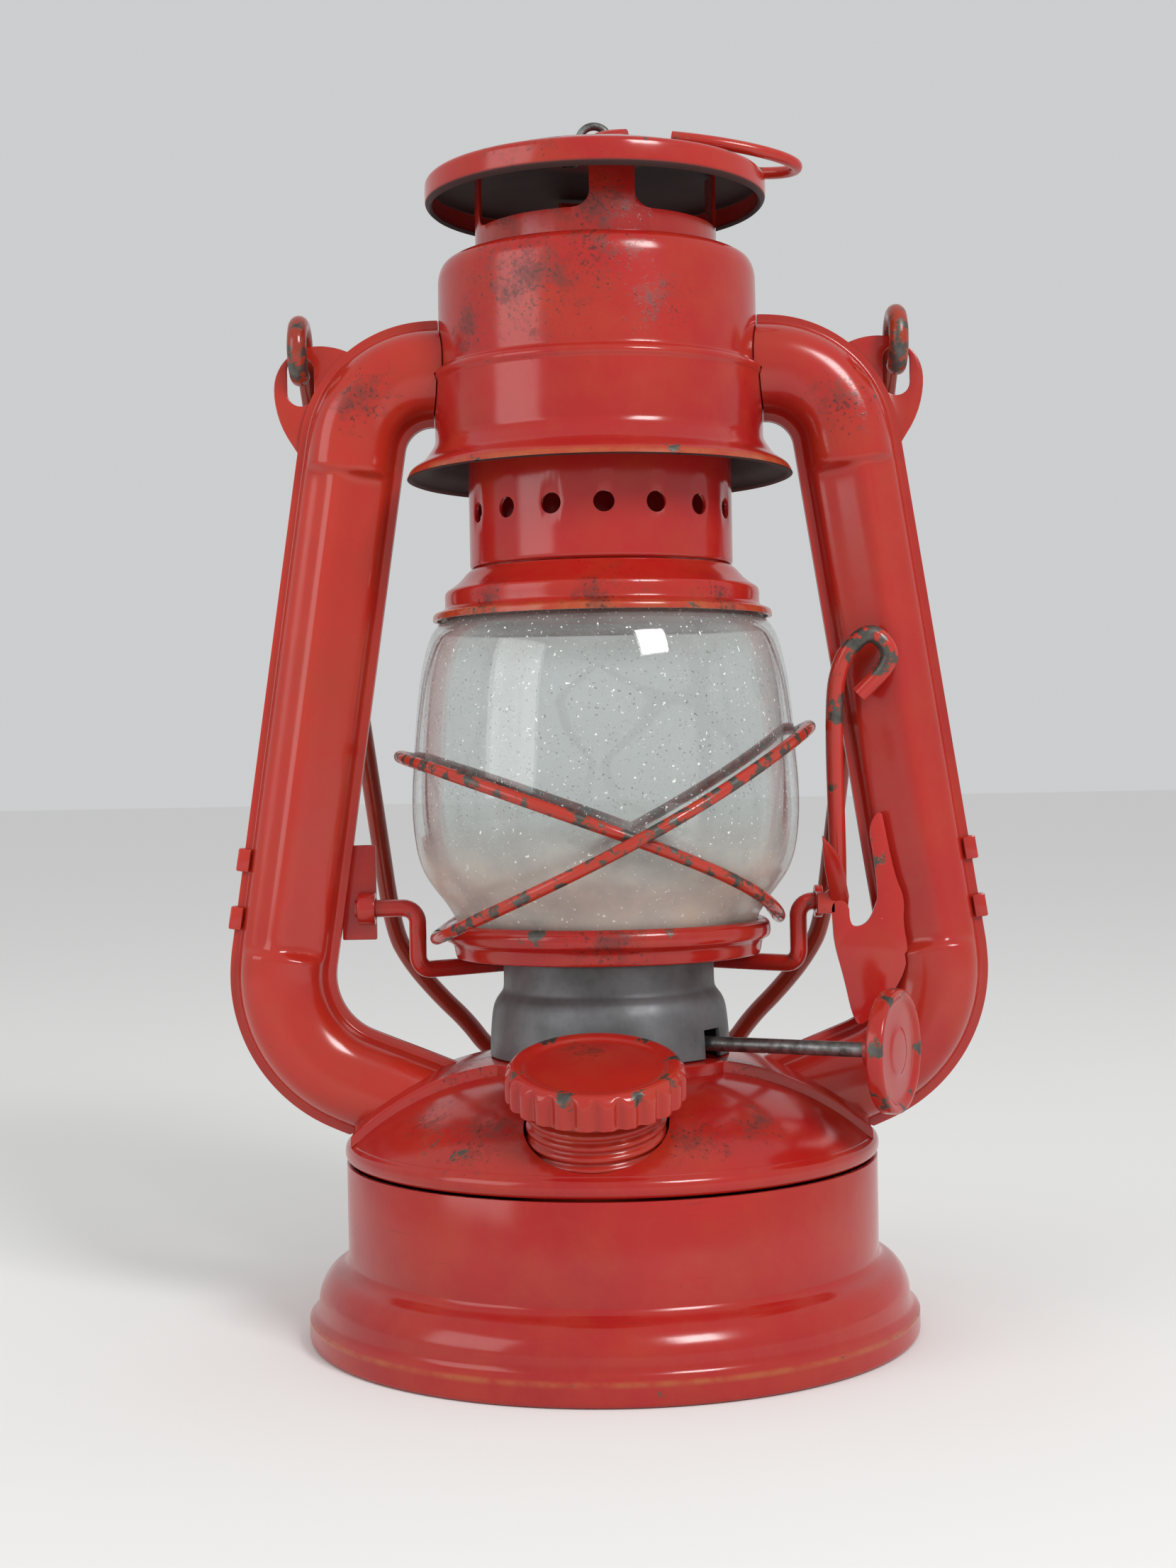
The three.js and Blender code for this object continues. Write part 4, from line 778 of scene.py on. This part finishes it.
# Bail ears and seam tabs: parts of the rear tinplate pressings. Each ear is a flat lug with a
# long hole for the bail's hook, and each tab is folded round the outer flange.
ear_shares = [
    (0.05, -2.11), (0.6, -1.23), (0.79, -0.26), (0.63, 0.39),
    (0.15, 0.87), (-0.42, 1), (-0.98, 0.94), (-1.45, 0.76),
]
ear_x, ear_height, ear_size = 51.6, 164.6, 6.2


def pushed_out(outline, shift):
    """A solid made by pushing a flat outline along a vector."""
    mesh = bmesh.new()
    face = mesh.faces.new([mesh.verts.new(point) for point in outline])
    pushed = bmesh.ops.extrude_face_region(mesh, geom=[face])["geom"]
    moved = [part for part in pushed if isinstance(part, bmesh.types.BMVert)]
    bmesh.ops.translate(mesh, vec=shift, verts=moved)
    bmesh.ops.recalc_face_normals(mesh, faces=mesh.faces)
    return mesh


def plate(points, thickness, front):
    """A flat plate in the XZ plane with its front face at a depth."""
    return pushed_out([(x, front, z) for x, z in points], (0, thickness, 0))


def slot_at(x, z, width, length):
    """A cutter for an upright slot with round ends."""
    rise = (length - width) / 2
    points = []
    for way in (1, -1):
        for i in range(13):
            angle = i * math.pi / 12
            out, up = width / 2 * math.cos(angle), rise + width / 2 * math.sin(angle)
            points.append((x + way * out, z + way * up))
    return plate(points, 12, -6)


tab_length = 4
tab_section = [
    (8.0, 0.85), (10.2, 0.85), (10.2, -1.85), (8.0, -1.85), (8.0, -1.15), (9.5, -1.15), (9.5, 0.15),
    (8.0, 0.15),
]
for name, side in (("left", -1), ("right", 1)):
    curve = eased([ear_shares[0], *ear_shares])
    ear_points = []
    for out, up in [*curve, (-1.4, -2.11)]:
        ear_points.append((side * (ear_x + out * ear_size), ear_height + up * ear_size))
    ear_slot = slot_at(side * ear_x, ear_height, 4.7, 8.6)
    piece(
        name + "_ear", plate(ear_points, 1, seam_gap), tube_paints[name], "lantern",
        cutters=[ear_slot], soften=0.2,
    )
    for number, height in ((1, 80.5), (2, 70.5)):
        outward = Vector((side * math.cos(tube_lean), 0, math.sin(tube_lean)))
        along = Vector((-side * math.sin(tube_lean), 0, math.cos(tube_lean)))
        middle = Vector((side * straight_x(height), 0, height))
        start = middle - along * tab_length / 2
        outline = [start + outward * out + Vector((0, depth, 0)) for out, depth in tab_section]
        tab = pushed_out(outline, along * tab_length)
        piece(f"{name}_tab_{number}", tab, tube_paints[name], "lantern", soften=0.3)

# Canopy: a spun tinplate hood over the tubes' tops, flared below the globe's rim, with one bead
# and a rounded top. Rising soot and dust have darkened the front of its upper part.
canopy_profile = [
    (33.3, 146.8), (33.3, 146.8), (33.0, 147.6), (32.6, 148.2), (31.6, 148.9), (30.4, 149.6),
    (29.4, 151.0), (28.6, 152.2), (28.3, 153.2), (28.3, 154), (28.3, 162.6), (28.3, 163.1),
    (28.65, 163.7), (28.7, 164.3), (28.3, 164.9), (27.5, 165.3), (27.4, 165.8), (27.4, 167),
    (27.4, 179.8), (27.3, 181.4), (26.7, 183.1), (25.6, 183.9), (24.2, 184.2), (21.3, 184.2), (21.3, 184.2),
]
canopy_paint = red_paint(
    "red gloss paint, canopy",
    chips=0.79,
    grime=[(-12, -25, 176, 20), (0, -27, 181, 14), (10, -26, 172, 10), (-22, -17, 170, 9)],
    rims=[(33.3, 147.2, 1.3)],
    # Painted shade: the flare's downward faces, below 156 mm, are painted near-black
    underside_shade_top=156,
    spots=[(12, -31, 147, 5), (-20, -26, 147, 4)],
)
piece(
    "canopy_hood", turned(eased(canopy_profile), 160), canopy_paint, "lantern", ["canopy"],
    wall=sheet, soften=0.12,
)

# Chimney: a tube rolled from tinplate that slides in the canopy. A row of round vents is
# punched through it above the crown.
chimney_profile = [
    (21.7, 127.5), (21.7, 127.5), (21.7, 130.8), (22.2, 131.2), (22.7, 131.6), (22.7, 132.6),
    (22.7, 154), (22.7, 155), (22.2, 156), (20.6, 157), (19.9, 157.6), (19.9, 159), (19.9, 186), (19.9, 186),
]
chimney_radius = 22.7
vent_height, vent_radius, vent_count, vents_turned = 140.3, 1.75, 16, -88.5
vents = []
worn_vents = []
for i in range(vent_count):
    angle = math.radians(vents_turned + 360 / vent_count * i)
    vent = turned([(0, 15), (vent_radius, 15), (vent_radius, 30), (0, 30)], 32)
    heading = Matrix.Rotation(angle, 4, "Z") @ along_x
    vents.append(placed(vent, Matrix.Translation((0, 0, vent_height)) @ heading))
for angle in (-111, -88.5, -66, -43.5):
    turn = math.radians(angle)
    worn_vents.append((chimney_radius * math.cos(turn), chimney_radius * math.sin(turn), vent_height, 3.0))
chimney_paint = red_paint(
    "red gloss paint, chimney", chips=0.8, spots=worn_vents, deep=0x98141A, bright=0xBC2620
)
piece(
    "chimney_vented_tube", turned(eased(chimney_profile), 128), chimney_paint, "chimney",
    ["chimney_tube"], wall=sheet, cutters=vents, soften=0.12,
)

# Chimney crown: a stepped tinplate collar fixed round the chimney's foot, which sits on the
# globe's mouth. Its lower rim is worn brown.
crown_shares = [
    (1, 0), (1, 0), (0.995, 0.09), (0.955, 0.14), (0.8, 0.18), (0.727, 0.21), (0.68, 0.245), (0.67, 0.33),
    (0.68, 0.5), (0.64, 0.58), (0.5, 0.64), (0.32, 0.745), (0.2, 0.84), (0.106, 0.93), (0, 1), (0, 1),
]
crown_paint = red_paint(
    "red gloss paint, chimney crown",
    chips=0.77,
    rims=[(29.3, 122.6, 2.6)],
    grime=[(0, -29, 124, 12), (-20, -20, 124, 10), (20, -20, 124, 10)],
    deep=0xA01619,
)
piece(
    "chimney_stepped_crown", turned(eased(spread(crown_shares, chimney_radius, 29.3, 122.4, 131)), 144),
    crown_paint, "chimney", ["chimney_crown"], wall=sheet, soften=0.12,
)

# Hood collar: a tinplate band riveted in the chimney's top whose four legs hold the rain cap,
# with smoke windows rounded at their sills.
collar_radius, sill, collar_top = 20.8, 188.8, 199.3
leg_half, round_sill, legs_turned = 3.8, 2.6, 8
collar_skin = turned([(collar_radius, 160), (collar_radius, sill), (collar_radius, collar_top)], 144)
half_width = collar_radius * math.sin(math.pi / 4 - math.asin(leg_half / collar_radius))
right_corner = []
for i in range(7):
    angle = i * math.pi / 12
    out = half_width - round_sill + round_sill * math.cos(angle)
    right_corner.append((out, sill + round_sill - round_sill * math.sin(angle)))
left_corner = [(-out, up) for out, up in reversed(right_corner)]
window_points = [(-half_width, 202), (half_width, 202), *right_corner, *left_corner]
smoke_windows = []
for i in range(4):
    turn = Matrix.Rotation(math.radians(legs_turned + 45 + 90 * i + 90), 4, "Z")
    smoke_windows.append(placed(plate(window_points, 26, -30), turn))
collar_paint = red_paint(
    "red gloss paint, hood collar", chips=0.79, grime=[(0, -20, 190, 14), (-14, -14, 190, 10)], deep=0x8C1518,
    bright=0xB3261E,
)
piece(
    "hood_legged_collar", collar_skin, collar_paint, "chimney", ["hood_collar"], wall=0.6,
    cutters=smoke_windows, soften=0.12,
)

# Rain cap: a domed tinplate lid with a rolled rim, held over the chimney by the collar's
# legs. It is dusted and scratched on top.
cap_profile = [
    (28.6, 193.4), (28.6, 193.4), (29.2, 193.9), (29.4, 194.6), (29.4, 196.8), (29.3, 197.6),
    (28.8, 198.1), (27.8, 198.4), (26.6, 198.7), (24, 199.6), (20, 200.8), (14, 202.2),
    (8, 203.1), (3, 203.35), (0, 203.4), (0, 203.4),
]
hood_paint = red_paint(
    "red gloss paint, rain cap",
    chips=0.79,
    grime=[(-8, -20, 201, 16), (12, -16, 202, 12)],
    # Painted shade: the cap's underside, below its top at 203 mm, is painted near-black
    underside_shade_top=203,
    spots=[(-18, -23, 198, 3), (8, -28, 198, 3), (22, -18, 198, 3)],
    scratches=0.3,
)
staple_holes = []
for x in (-2.6, 2.6):
    hole = turned([(0, 198), (1.0, 198), (1.0, 207), (0, 207)], 24)
    staple_holes.append(placed(hole, Matrix.Translation((x, 0, 0))))
piece(
    "rain_cap", turned(eased(cap_profile), 144), hood_paint, "chimney", ["hood_cap"], wall=sheet,
    cutters=staple_holes, soften=0.1,
)


# Staple and lift ring: a bent steel staple clinched under the rain cap, and an oval ring of
# painted wire in it by which the chimney is lifted. The ring lies over to the right.
def bends(corners, steps=8):
    """Points along a bent wire. A corner is x, y, z and its bend's radius, or has no radius."""
    points = []
    for i, corner in enumerate(corners):
        here = Vector(corner[:3])
        if len(corner) < 4 or i in (0, len(corners) - 1):
            points.append(here)
            continue
        arriving = (here - Vector(corners[i - 1][:3])).normalized()
        leaving = (Vector(corners[i + 1][:3]) - here).normalized()
        turn = arriving.angle(leaving)
        inward = (leaving - arriving * arriving.dot(leaving)).normalized()
        radius = corner[3]
        start = here - arriving * radius * math.tan(turn / 2)
        for k in range(steps + 1):
            angle = turn * k / steps
            along, across = radius * math.sin(angle), radius * (1 - math.cos(angle))
            points.append(start + arriving * along + inward * across)
    return points


def wire(name, points, diameter, closed=False, sides=5):
    """A round wire of a diameter through points, as a mesh object."""
    curve = bpy.data.curves.new(name, "CURVE")
    curve.dimensions = "3D"
    curve.bevel_depth = diameter / 2000
    curve.bevel_resolution = sides
    curve.use_fill_caps = True
    line = curve.splines.new("POLY")
    line.points.add(len(points) - 1)
    for point, place in zip(line.points, points):
        point.co = (*(Vector(place) / 1000), 1)
    line.use_cyclic_u = closed
    drawn = bpy.data.objects.new(name, curve)
    bpy.context.collection.objects.link(drawn)
    bpy.context.view_layer.update()
    data = bpy.data.meshes.new_from_object(drawn.evaluated_get(bpy.context.evaluated_depsgraph_get()))
    bpy.data.objects.remove(drawn)
    mesh = bmesh.new()
    mesh.from_mesh(data)
    bmesh.ops.remove_doubles(mesh, verts=mesh.verts, dist=1e-6)
    bmesh.ops.recalc_face_normals(mesh, faces=mesh.faces)
    mesh.to_mesh(data)
    mesh.free()
    made = bpy.data.objects.new(name, data)
    bpy.context.collection.objects.link(made)
    return made


staple_corners = [
    (-5.5, 0, 201.2), (-2.6, 0, 201.2, 1.4), (-2.6, 0, 207.6, 2.6),
    (2.6, 0, 207.6, 2.6), (2.6, 0, 201.2, 1.4), (5.5, 0, 201.2),
]
piece(
    "ring_staple_wire", wire("ring_staple_wire", bends(staple_corners), 1.4), steel, "chimney",
    ["ring_staple"],
)
ring_length, ring_width, ring_wire, ring_x, ring_height = 37, 20, 2.1, 0.4, 205
droop = math.radians(8.5)
ring_points = []
for i in range(4, 93):
    angle = math.radians(-120 + i * 360 / 96)
    out = (ring_length - ring_wire) / 2 * (1 + math.cos(angle))
    across = (ring_width - ring_wire) / 2 * math.sin(angle)
    ring_points.append((ring_x + out * math.cos(droop), across, ring_height - out * math.sin(droop)))
ring_paint = red_paint("chipped red paint, lift ring", chips=0.64, deep=0xA61A1A)
ring = wire("lift_ring_wire", ring_points, ring_wire)
piece("lift_ring_wire", ring, ring_paint, "ring", ["lift_ring"])

# Globe: clear pressed glass with a straight collar at each end, grey with dust that has settled
# thickest on its lower third, and flecked where it was never wiped.
glass_wall = 1.8
globe_shares = [
    (0.74, 0), (0.74, 0), (0.755, 0.036), (0.77, 0.081), (0.788, 0.101), (0.833, 0.141), (0.89, 0.18),
    (0.94, 0.22), (0.979, 0.28), (1, 0.379), (0.997, 0.478), (0.982, 0.577), (0.967, 0.676),
    (0.945, 0.776), (0.901, 0.875), (0.854, 0.915), (0.8, 0.94), (0.765, 0.957), (0.765, 0.975),
    (0.765, 1), (0.765, 1),
]
# Glass is clear and shiny, and dust on it is pale, rough and lets little through. Smears are
# about 14 mm across and flecks 0.6 mm
glass, node = new_material("dusty pressed glass")
coords = node("TexCoord").outputs["Object"]
place = node("Mapping", {"Vector": coords, "Scale": (1000, 1000, 1000)})
height = node("SeparateXYZ", {0: place}).outputs["Z"]
dust_base = 0.0
for start, end, least, most in ((90, 76, 0.035, 0.72), (114, 123, 0.0, 0.16)):
    span = {"From Min": start, "From Max": end, "To Min": least, "To Max": most}
    settled = node("MapRange", {"Value": height, **span}, interpolation_type="SMOOTHSTEP")
    dust_base = node("Math", {0: dust_base, 1: settled}, operation="ADD")
cloud = node("TexNoise", {"Vector": place, "Scale": 0.07, "Detail": 4.0, "Roughness": 0.6})
smear = node("MapRange", {"Value": cloud, "From Min": 0.35, "From Max": 0.7, "To Min": 0.55, "To Max": 1.25})
film = node("Math", {0: dust_base, 1: smear}, operation="MULTIPLY")
flecks = node("TexNoise", {"Vector": place, "Scale": 1.6, "Detail": 2.0, "Roughness": 0.5})
fleck = node("MapRange", {"Value": flecks, "From Min": 0.68, "From Max": 0.71, "To Max": 0.85})
dust = node("Math", {0: film, 1: fleck}, operation="MAXIMUM", use_clamp=True)
clear = node("Math", {0: 1.0, 1: dust}, operation="SUBTRACT")
tone = node("Mix", {0: dust, 6: linear(0xEFF3F2), 7: linear(0xC2B09C)}, data_type="RGBA").outputs[2]
tone = node("Mix", {0: fleck, 6: tone, 7: linear(0xFFFFFF)}, data_type="RGBA").outputs[2]
haze = node("MapRange", {"Value": dust, "To Min": 0.01, "To Max": 0.4})
values = {"Base Color": tone, "Roughness": haze, "IOR": 1.5, "Transmission Weight": clear}
node("OutputMaterial", {"Surface": node("BsdfPrincipled", values)})
piece(
    "globe_pressed_glass", turned(eased(spread(globe_shares, 0, 33.5, globe_seat, 126.8)), 144), glass,
    "globe_carriage", ["globe"], wall=glass_wall, soften=0.3,
)

# Globe plate: a ring pressed from tinplate that carries the globe on the crank. Its rolled
# rim is chipped in front.
plate_profile = [
    (16, 65.0), (16, 65.0), (16, 64.3), (16, 64.3), (26.1, 64.3), (26.4, 64.9), (26.7, 66.7),
    (27.4, 67.2), (28.0, 67.5), (28.2, 68.6), (28.0, 69.9), (27.0, 70.6), (26.2, 70.3),
    (26.0, 69.4), (26.0, 66), (25.8, 65.1), (25.3, 65.0), (16, 65.0), (16, 65.0),
]
plate_paint = red_paint(
    "red gloss paint, globe plate", chips=0.74, spots=[(-12, -25, 70, 4), (10, -26, 70, 3)],
    grime=[(0, -27, 68, 14)],
)
piece(
    "globe_plate_ring", turned(eased(plate_profile), 144), plate_paint, "globe_carriage",
    ["globe_plate"], crease=60,
)


# Guard wires: two hoops of painted steel wire that cross in front of and behind the globe and
# hold it on its plate. Rubbing has taken much of their paint down to grey metal.
guard_wire, grip_gap, low_radius, high_radius = 2.1, 4, 29.6, 35.4


def guard_hoop(name, low_side, low, rise, bow, middle):
    """A hoop round the globe, low on one side and high on the other, open where it grips the plate."""
    points = []
    slit = grip_gap / low_radius
    for i in range(161):
        turn = slit / 2 + i * (2 * math.pi - slit) / 160
        climb = (1 - math.cos(turn)) / 2
        end = low_radius + (high_radius - low_radius) * climb
        radius = end * math.cos(turn) ** 2 + middle * math.sin(turn) ** 2
        across, along = radius * math.cos(turn), radius * math.sin(turn)
        points.append((low_side * across, low_side * along, low + rise * climb**bow))
    return wire(name, points, guard_wire)


guard_paint = red_paint("chipped red paint, guard wires", chips=0.55, deep=0x9A241C, bright=0xBE3A28)
outer = guard_hoop("guard_hoop_outer", low_side=-1, low=68, rise=35.3, bow=1.27, middle=37.6)
piece("guard_hoop_outer", outer, guard_paint, "globe_carriage", ["guard_wire_outer"])
inner = guard_hoop("guard_hoop_inner", low_side=1, low=70.4, rise=28.9, bow=0.8, middle=35.2)
piece("guard_hoop_inner", inner, guard_paint, "globe_carriage", ["guard_wire_inner"])

# Lifting crank: one length of steel wire that pivots in both brackets, passes behind the
# burner under the globe plate, and turns up on the right into a hooked thumb lever. It is
# chipped where it is held.
crank_arm, crank_bow, crank_run, crank_axle = 33, 20.4, 62.2, 73
tangent = math.acos(crank_bow / crank_arm)
bow_points = []
for i in range(25):
    angle = math.pi - tangent + (2 * tangent - math.pi) * i / 24
    bow_points.append((crank_bow * math.cos(angle), crank_bow * math.sin(angle), crank_run))
lever_shares = [
    (-0.02, 0.2, 0.157), (-0.13, 0.73, 0.74), (0.02, 0.885, 0.897), (0.35, 0.94, 0.975), (0.64, 0.97, 1),
    (0.93, 1, 0.953), (1, 0.98, 0.886), (0.384, 0.854, 0.769),
]
lever_foot, lever_width, lever_reach, lever_rise = 40, 8.6, 9.8, 45.9
lever_line = []
for out, forward, up in lever_shares:
    place = (lever_foot + out * lever_width, -forward * lever_reach, crank_axle + up * lever_rise)
    lever_line.append(Vector(place))
crank_bend = 2.5
crank_corners = [
    (-43.8, 0, crank_axle), (-crank_arm, 0, crank_axle, crank_bend), (-crank_arm, 0, crank_run, crank_bend),
    *bow_points,
    (crank_arm, 0, crank_run, crank_bend), (crank_arm, 0, crank_axle, crank_bend),
    (lever_foot, 0, crank_axle, crank_bend),
    *[tuple(point) for point in eased(lever_line, 3)],
]
lever_wear = [(44, -9, 118, 7), (40, -7, 106, 5), (48, -9, 114, 5)]
crank_paint = red_paint(
    "chipped red paint, crank", chips=0.66, spots=lever_wear, deep=0xA51A1A, bright=0xC83228
)
crank = wire("lift_crank_wire", bends(crank_corners), 3, sides=6)
piece("lift_crank_wire", crank, crank_paint, "crank", ["lift_crank"])

# Lever bracket: a tinplate plate soldered to the right tube, with an eye that holds the crank
# and a tongue bent forward that the lever springs behind.
bracket_shares = [
    (0.82, 0.97), (1, 0.69), (1.15, 0.59), (1.12, 0.475), (1.2, 0.344), (1.09, 0.216), (0.75, 0.09),
    (0.42, 0), (0.3, 0.06), (0.19, 0.22), (0.04, 0.384), (0.02, 0.48), (0, 0.58), (0.28, 0.58),
    (0.29, 0.467), (0.45, 0.46), (0.6, 0.49), (0.7, 0.56), (0.74, 0.6), (0.67, 0.8), (0.61, 0.9),
    (0.72, 0.98),
]
bracket_left, bracket_low, bracket_width, bracket_rise = 38.1, 51.6, 10.9, 37.5
bracket_front, tube_room = -6.4, 1.03
bracket_paint = red_paint(
    "red gloss paint, brackets", chips=0.71, spots=[(44, -6.4, 80, 5)], deep=0xA2181A, bright=0xC22C22
)
bracket_corners = []
for out, up in bracket_shares:
    bracket_corners.append(Vector((bracket_left + out * bracket_width, bracket_low + up * bracket_rise)))
bracket_points = eased([*bracket_corners, bracket_corners[0]])[:-1]


def beside_tube(side, facing):
    """The space of a side tube and a paper's gap round it, on one side of its parting plane."""
    mesh = bmesh.new()
    rows = []
    for centre, angle, share in tube_stations():
        heading = Vector((math.sin(angle), math.cos(angle)))
        corners = []
        skin = zip(elbow_section[2:-2], straight_section[2:-2])
        line = [Vector(elbow).lerp(Vector(straight), share) for elbow, straight in skin]
        for out, deep in [(-8.0, -3), *line, (8.0, -3)]:
            place = centre + heading * (out * tube_room)
            depth = deep * tube_room + seam_gap
            corners.append(mesh.verts.new((side * place.x, -facing * depth, place.y)))
        ring_edges = [mesh.edges.new(pair) for pair in zip(corners, corners[1:])]
        ring_edges.append(mesh.edges.new((corners[-1], corners[0])))
        rows.append(ring_edges)
    for row, following in zip(rows, rows[1:]):
        bmesh.ops.bridge_loops(mesh, edges=row + following)
    bmesh.ops.holes_fill(mesh, edges=rows[0] + rows[-1])
    bmesh.ops.recalc_face_normals(mesh, faces=mesh.faces)
    return mesh


piece(
    "lever_bracket_plate", plate(bracket_points, 1, bracket_front), bracket_paint, "lantern",
    ["lever_bracket"], cutters=[beside_tube(1, 1)], soften=0.2,
)
tongue_shares = [
    (0, -0.1), (0.28, -0.1), (0.28, 0.05), (0.2, 0.35), (0.1, 0.65), (-0.2, 1), (-0.13, 0.5), (0, 0)
]
tongue_rise, tongue_bend, tongue_root = 11.1, math.radians(40), 0.58
tongue_points = []
for out, up in tongue_shares:
    tongue_points.append((bracket_left + out * bracket_width, up * tongue_rise / math.cos(tongue_bend)))
bend_line = Matrix.Translation((0, bracket_front, bracket_low + bracket_rise * tongue_root))
tongue = placed(plate(tongue_points, 1, 0), bend_line @ Matrix.Rotation(tongue_bend, 4, "X"))
piece("lever_bracket_tongue", tongue, bracket_paint, "lantern", soften=0.25)
eye_bore, eye_radius, eye_left, eye_right = 1.8, 2.8, 35.8, 37.2
along_axle = Matrix.Translation((0, 0, crank_axle)) @ along_x
eye_section = [(eye_bore, eye_left), (eye_radius, eye_left), (eye_radius, eye_right), (eye_bore, eye_right)]
eye = placed(turned(eye_section, 48, closed=True), along_axle)
piece("lever_bracket_eye", eye, bracket_paint, "lantern", soften=0.2)
eye_space = placed(turned([(0, 30), (2.2, 30), (2.2, 50), (0, 50)], 48), along_axle)
arm_span = (crank_axle - 1.8, crank_axle + 1.8)
arm = block((eye_left, eye_right), (-6.3, -1.5), arm_span)
piece("lever_bracket_arm", arm, bracket_paint, "lantern", cutters=[eye_space], soften=0.2)
web = block((eye_left, 38.9), (bracket_front, -5.4), arm_span)
piece("lever_bracket_web", web, bracket_paint, "lantern", soften=0.2)

# Pivot bracket: a small tinplate lug with an eye for the crank's left end. It is soldered
# behind the left tube's inner flange.
pivot_left, pivot_right = -43.2, -40.2
lug = block((-46.2, pivot_right), (1.15, 2.15), (67.5, 84))
piece(
    "pivot_bracket_lug", lug, bracket_paint, "lantern", ["pivot_bracket"],
    cutters=[beside_tube(-1, -1)], soften=0.3,
)
pivot_section = [
    (eye_bore, pivot_left), (eye_radius, pivot_left), (eye_radius, pivot_right), (eye_bore, pivot_right)
]
pivot_eye = placed(turned(pivot_section, 48, closed=True), along_axle)
piece(
    "pivot_bracket_eye", pivot_eye, bracket_paint, "lantern", cutters=[beside_tube(-1, -1)],
    soften=0.2,
)

# Bail: a loop of stout steel wire whose ends are bent round into hooks through the ears. It
# has fallen back behind the lantern, and its paint has browned.
bail_shares = [
    (0.824, 0.636), (0.783, 0.797), (0.721, 0.847), (0.62, 0.897), (0.523, 0.936), (0.446, 0.98),
    (0.33, 0.999),
]
bail_lean = math.radians(15)
hook_radius, hook_sweep = 4.5, math.radians(248)
bail_depth, bail_height, bail_drop = 0.65, 169.8, 134.9


def bail_side(side):
    """Half the bail from the hook's tip to the loop's middle."""
    points = []
    for i in range(40, -1, -1):
        angle = bail_lean + hook_sweep * i / 40
        deep, up = hook_radius * math.cos(angle), hook_radius * math.sin(angle)
        points.append(Vector((side * ear_x, bail_depth + deep, bail_height + up)))
    start = points[-1]
    legs = [start]
    for out, down in bail_shares:
        back, drop = down * bail_drop * math.sin(bail_lean), down * bail_drop * math.cos(bail_lean)
        legs.append(Vector((side * out * ear_x, start.y + back, start.z - drop)))
    return points, legs


left_hook, left_leg = bail_side(-1)
right_hook, right_leg = bail_side(1)
bail_points = left_hook[:-1] + eased([*left_leg, *reversed(right_leg)], 3) + right_hook[-2::-1]
ear_wear = [(-ear_x, -2, 168, 9), (ear_x, -2, 168, 9)]
bail_paint = red_paint("browned red paint, bail", chips=0.69, spots=ear_wear, deep=0x7E1E18, bright=0x9A3A26)
bail = wire("bail_wire", bail_points, 3.4, sides=6)
piece("bail_wire", bail, bail_paint, "carrying_bail", ["bail"])
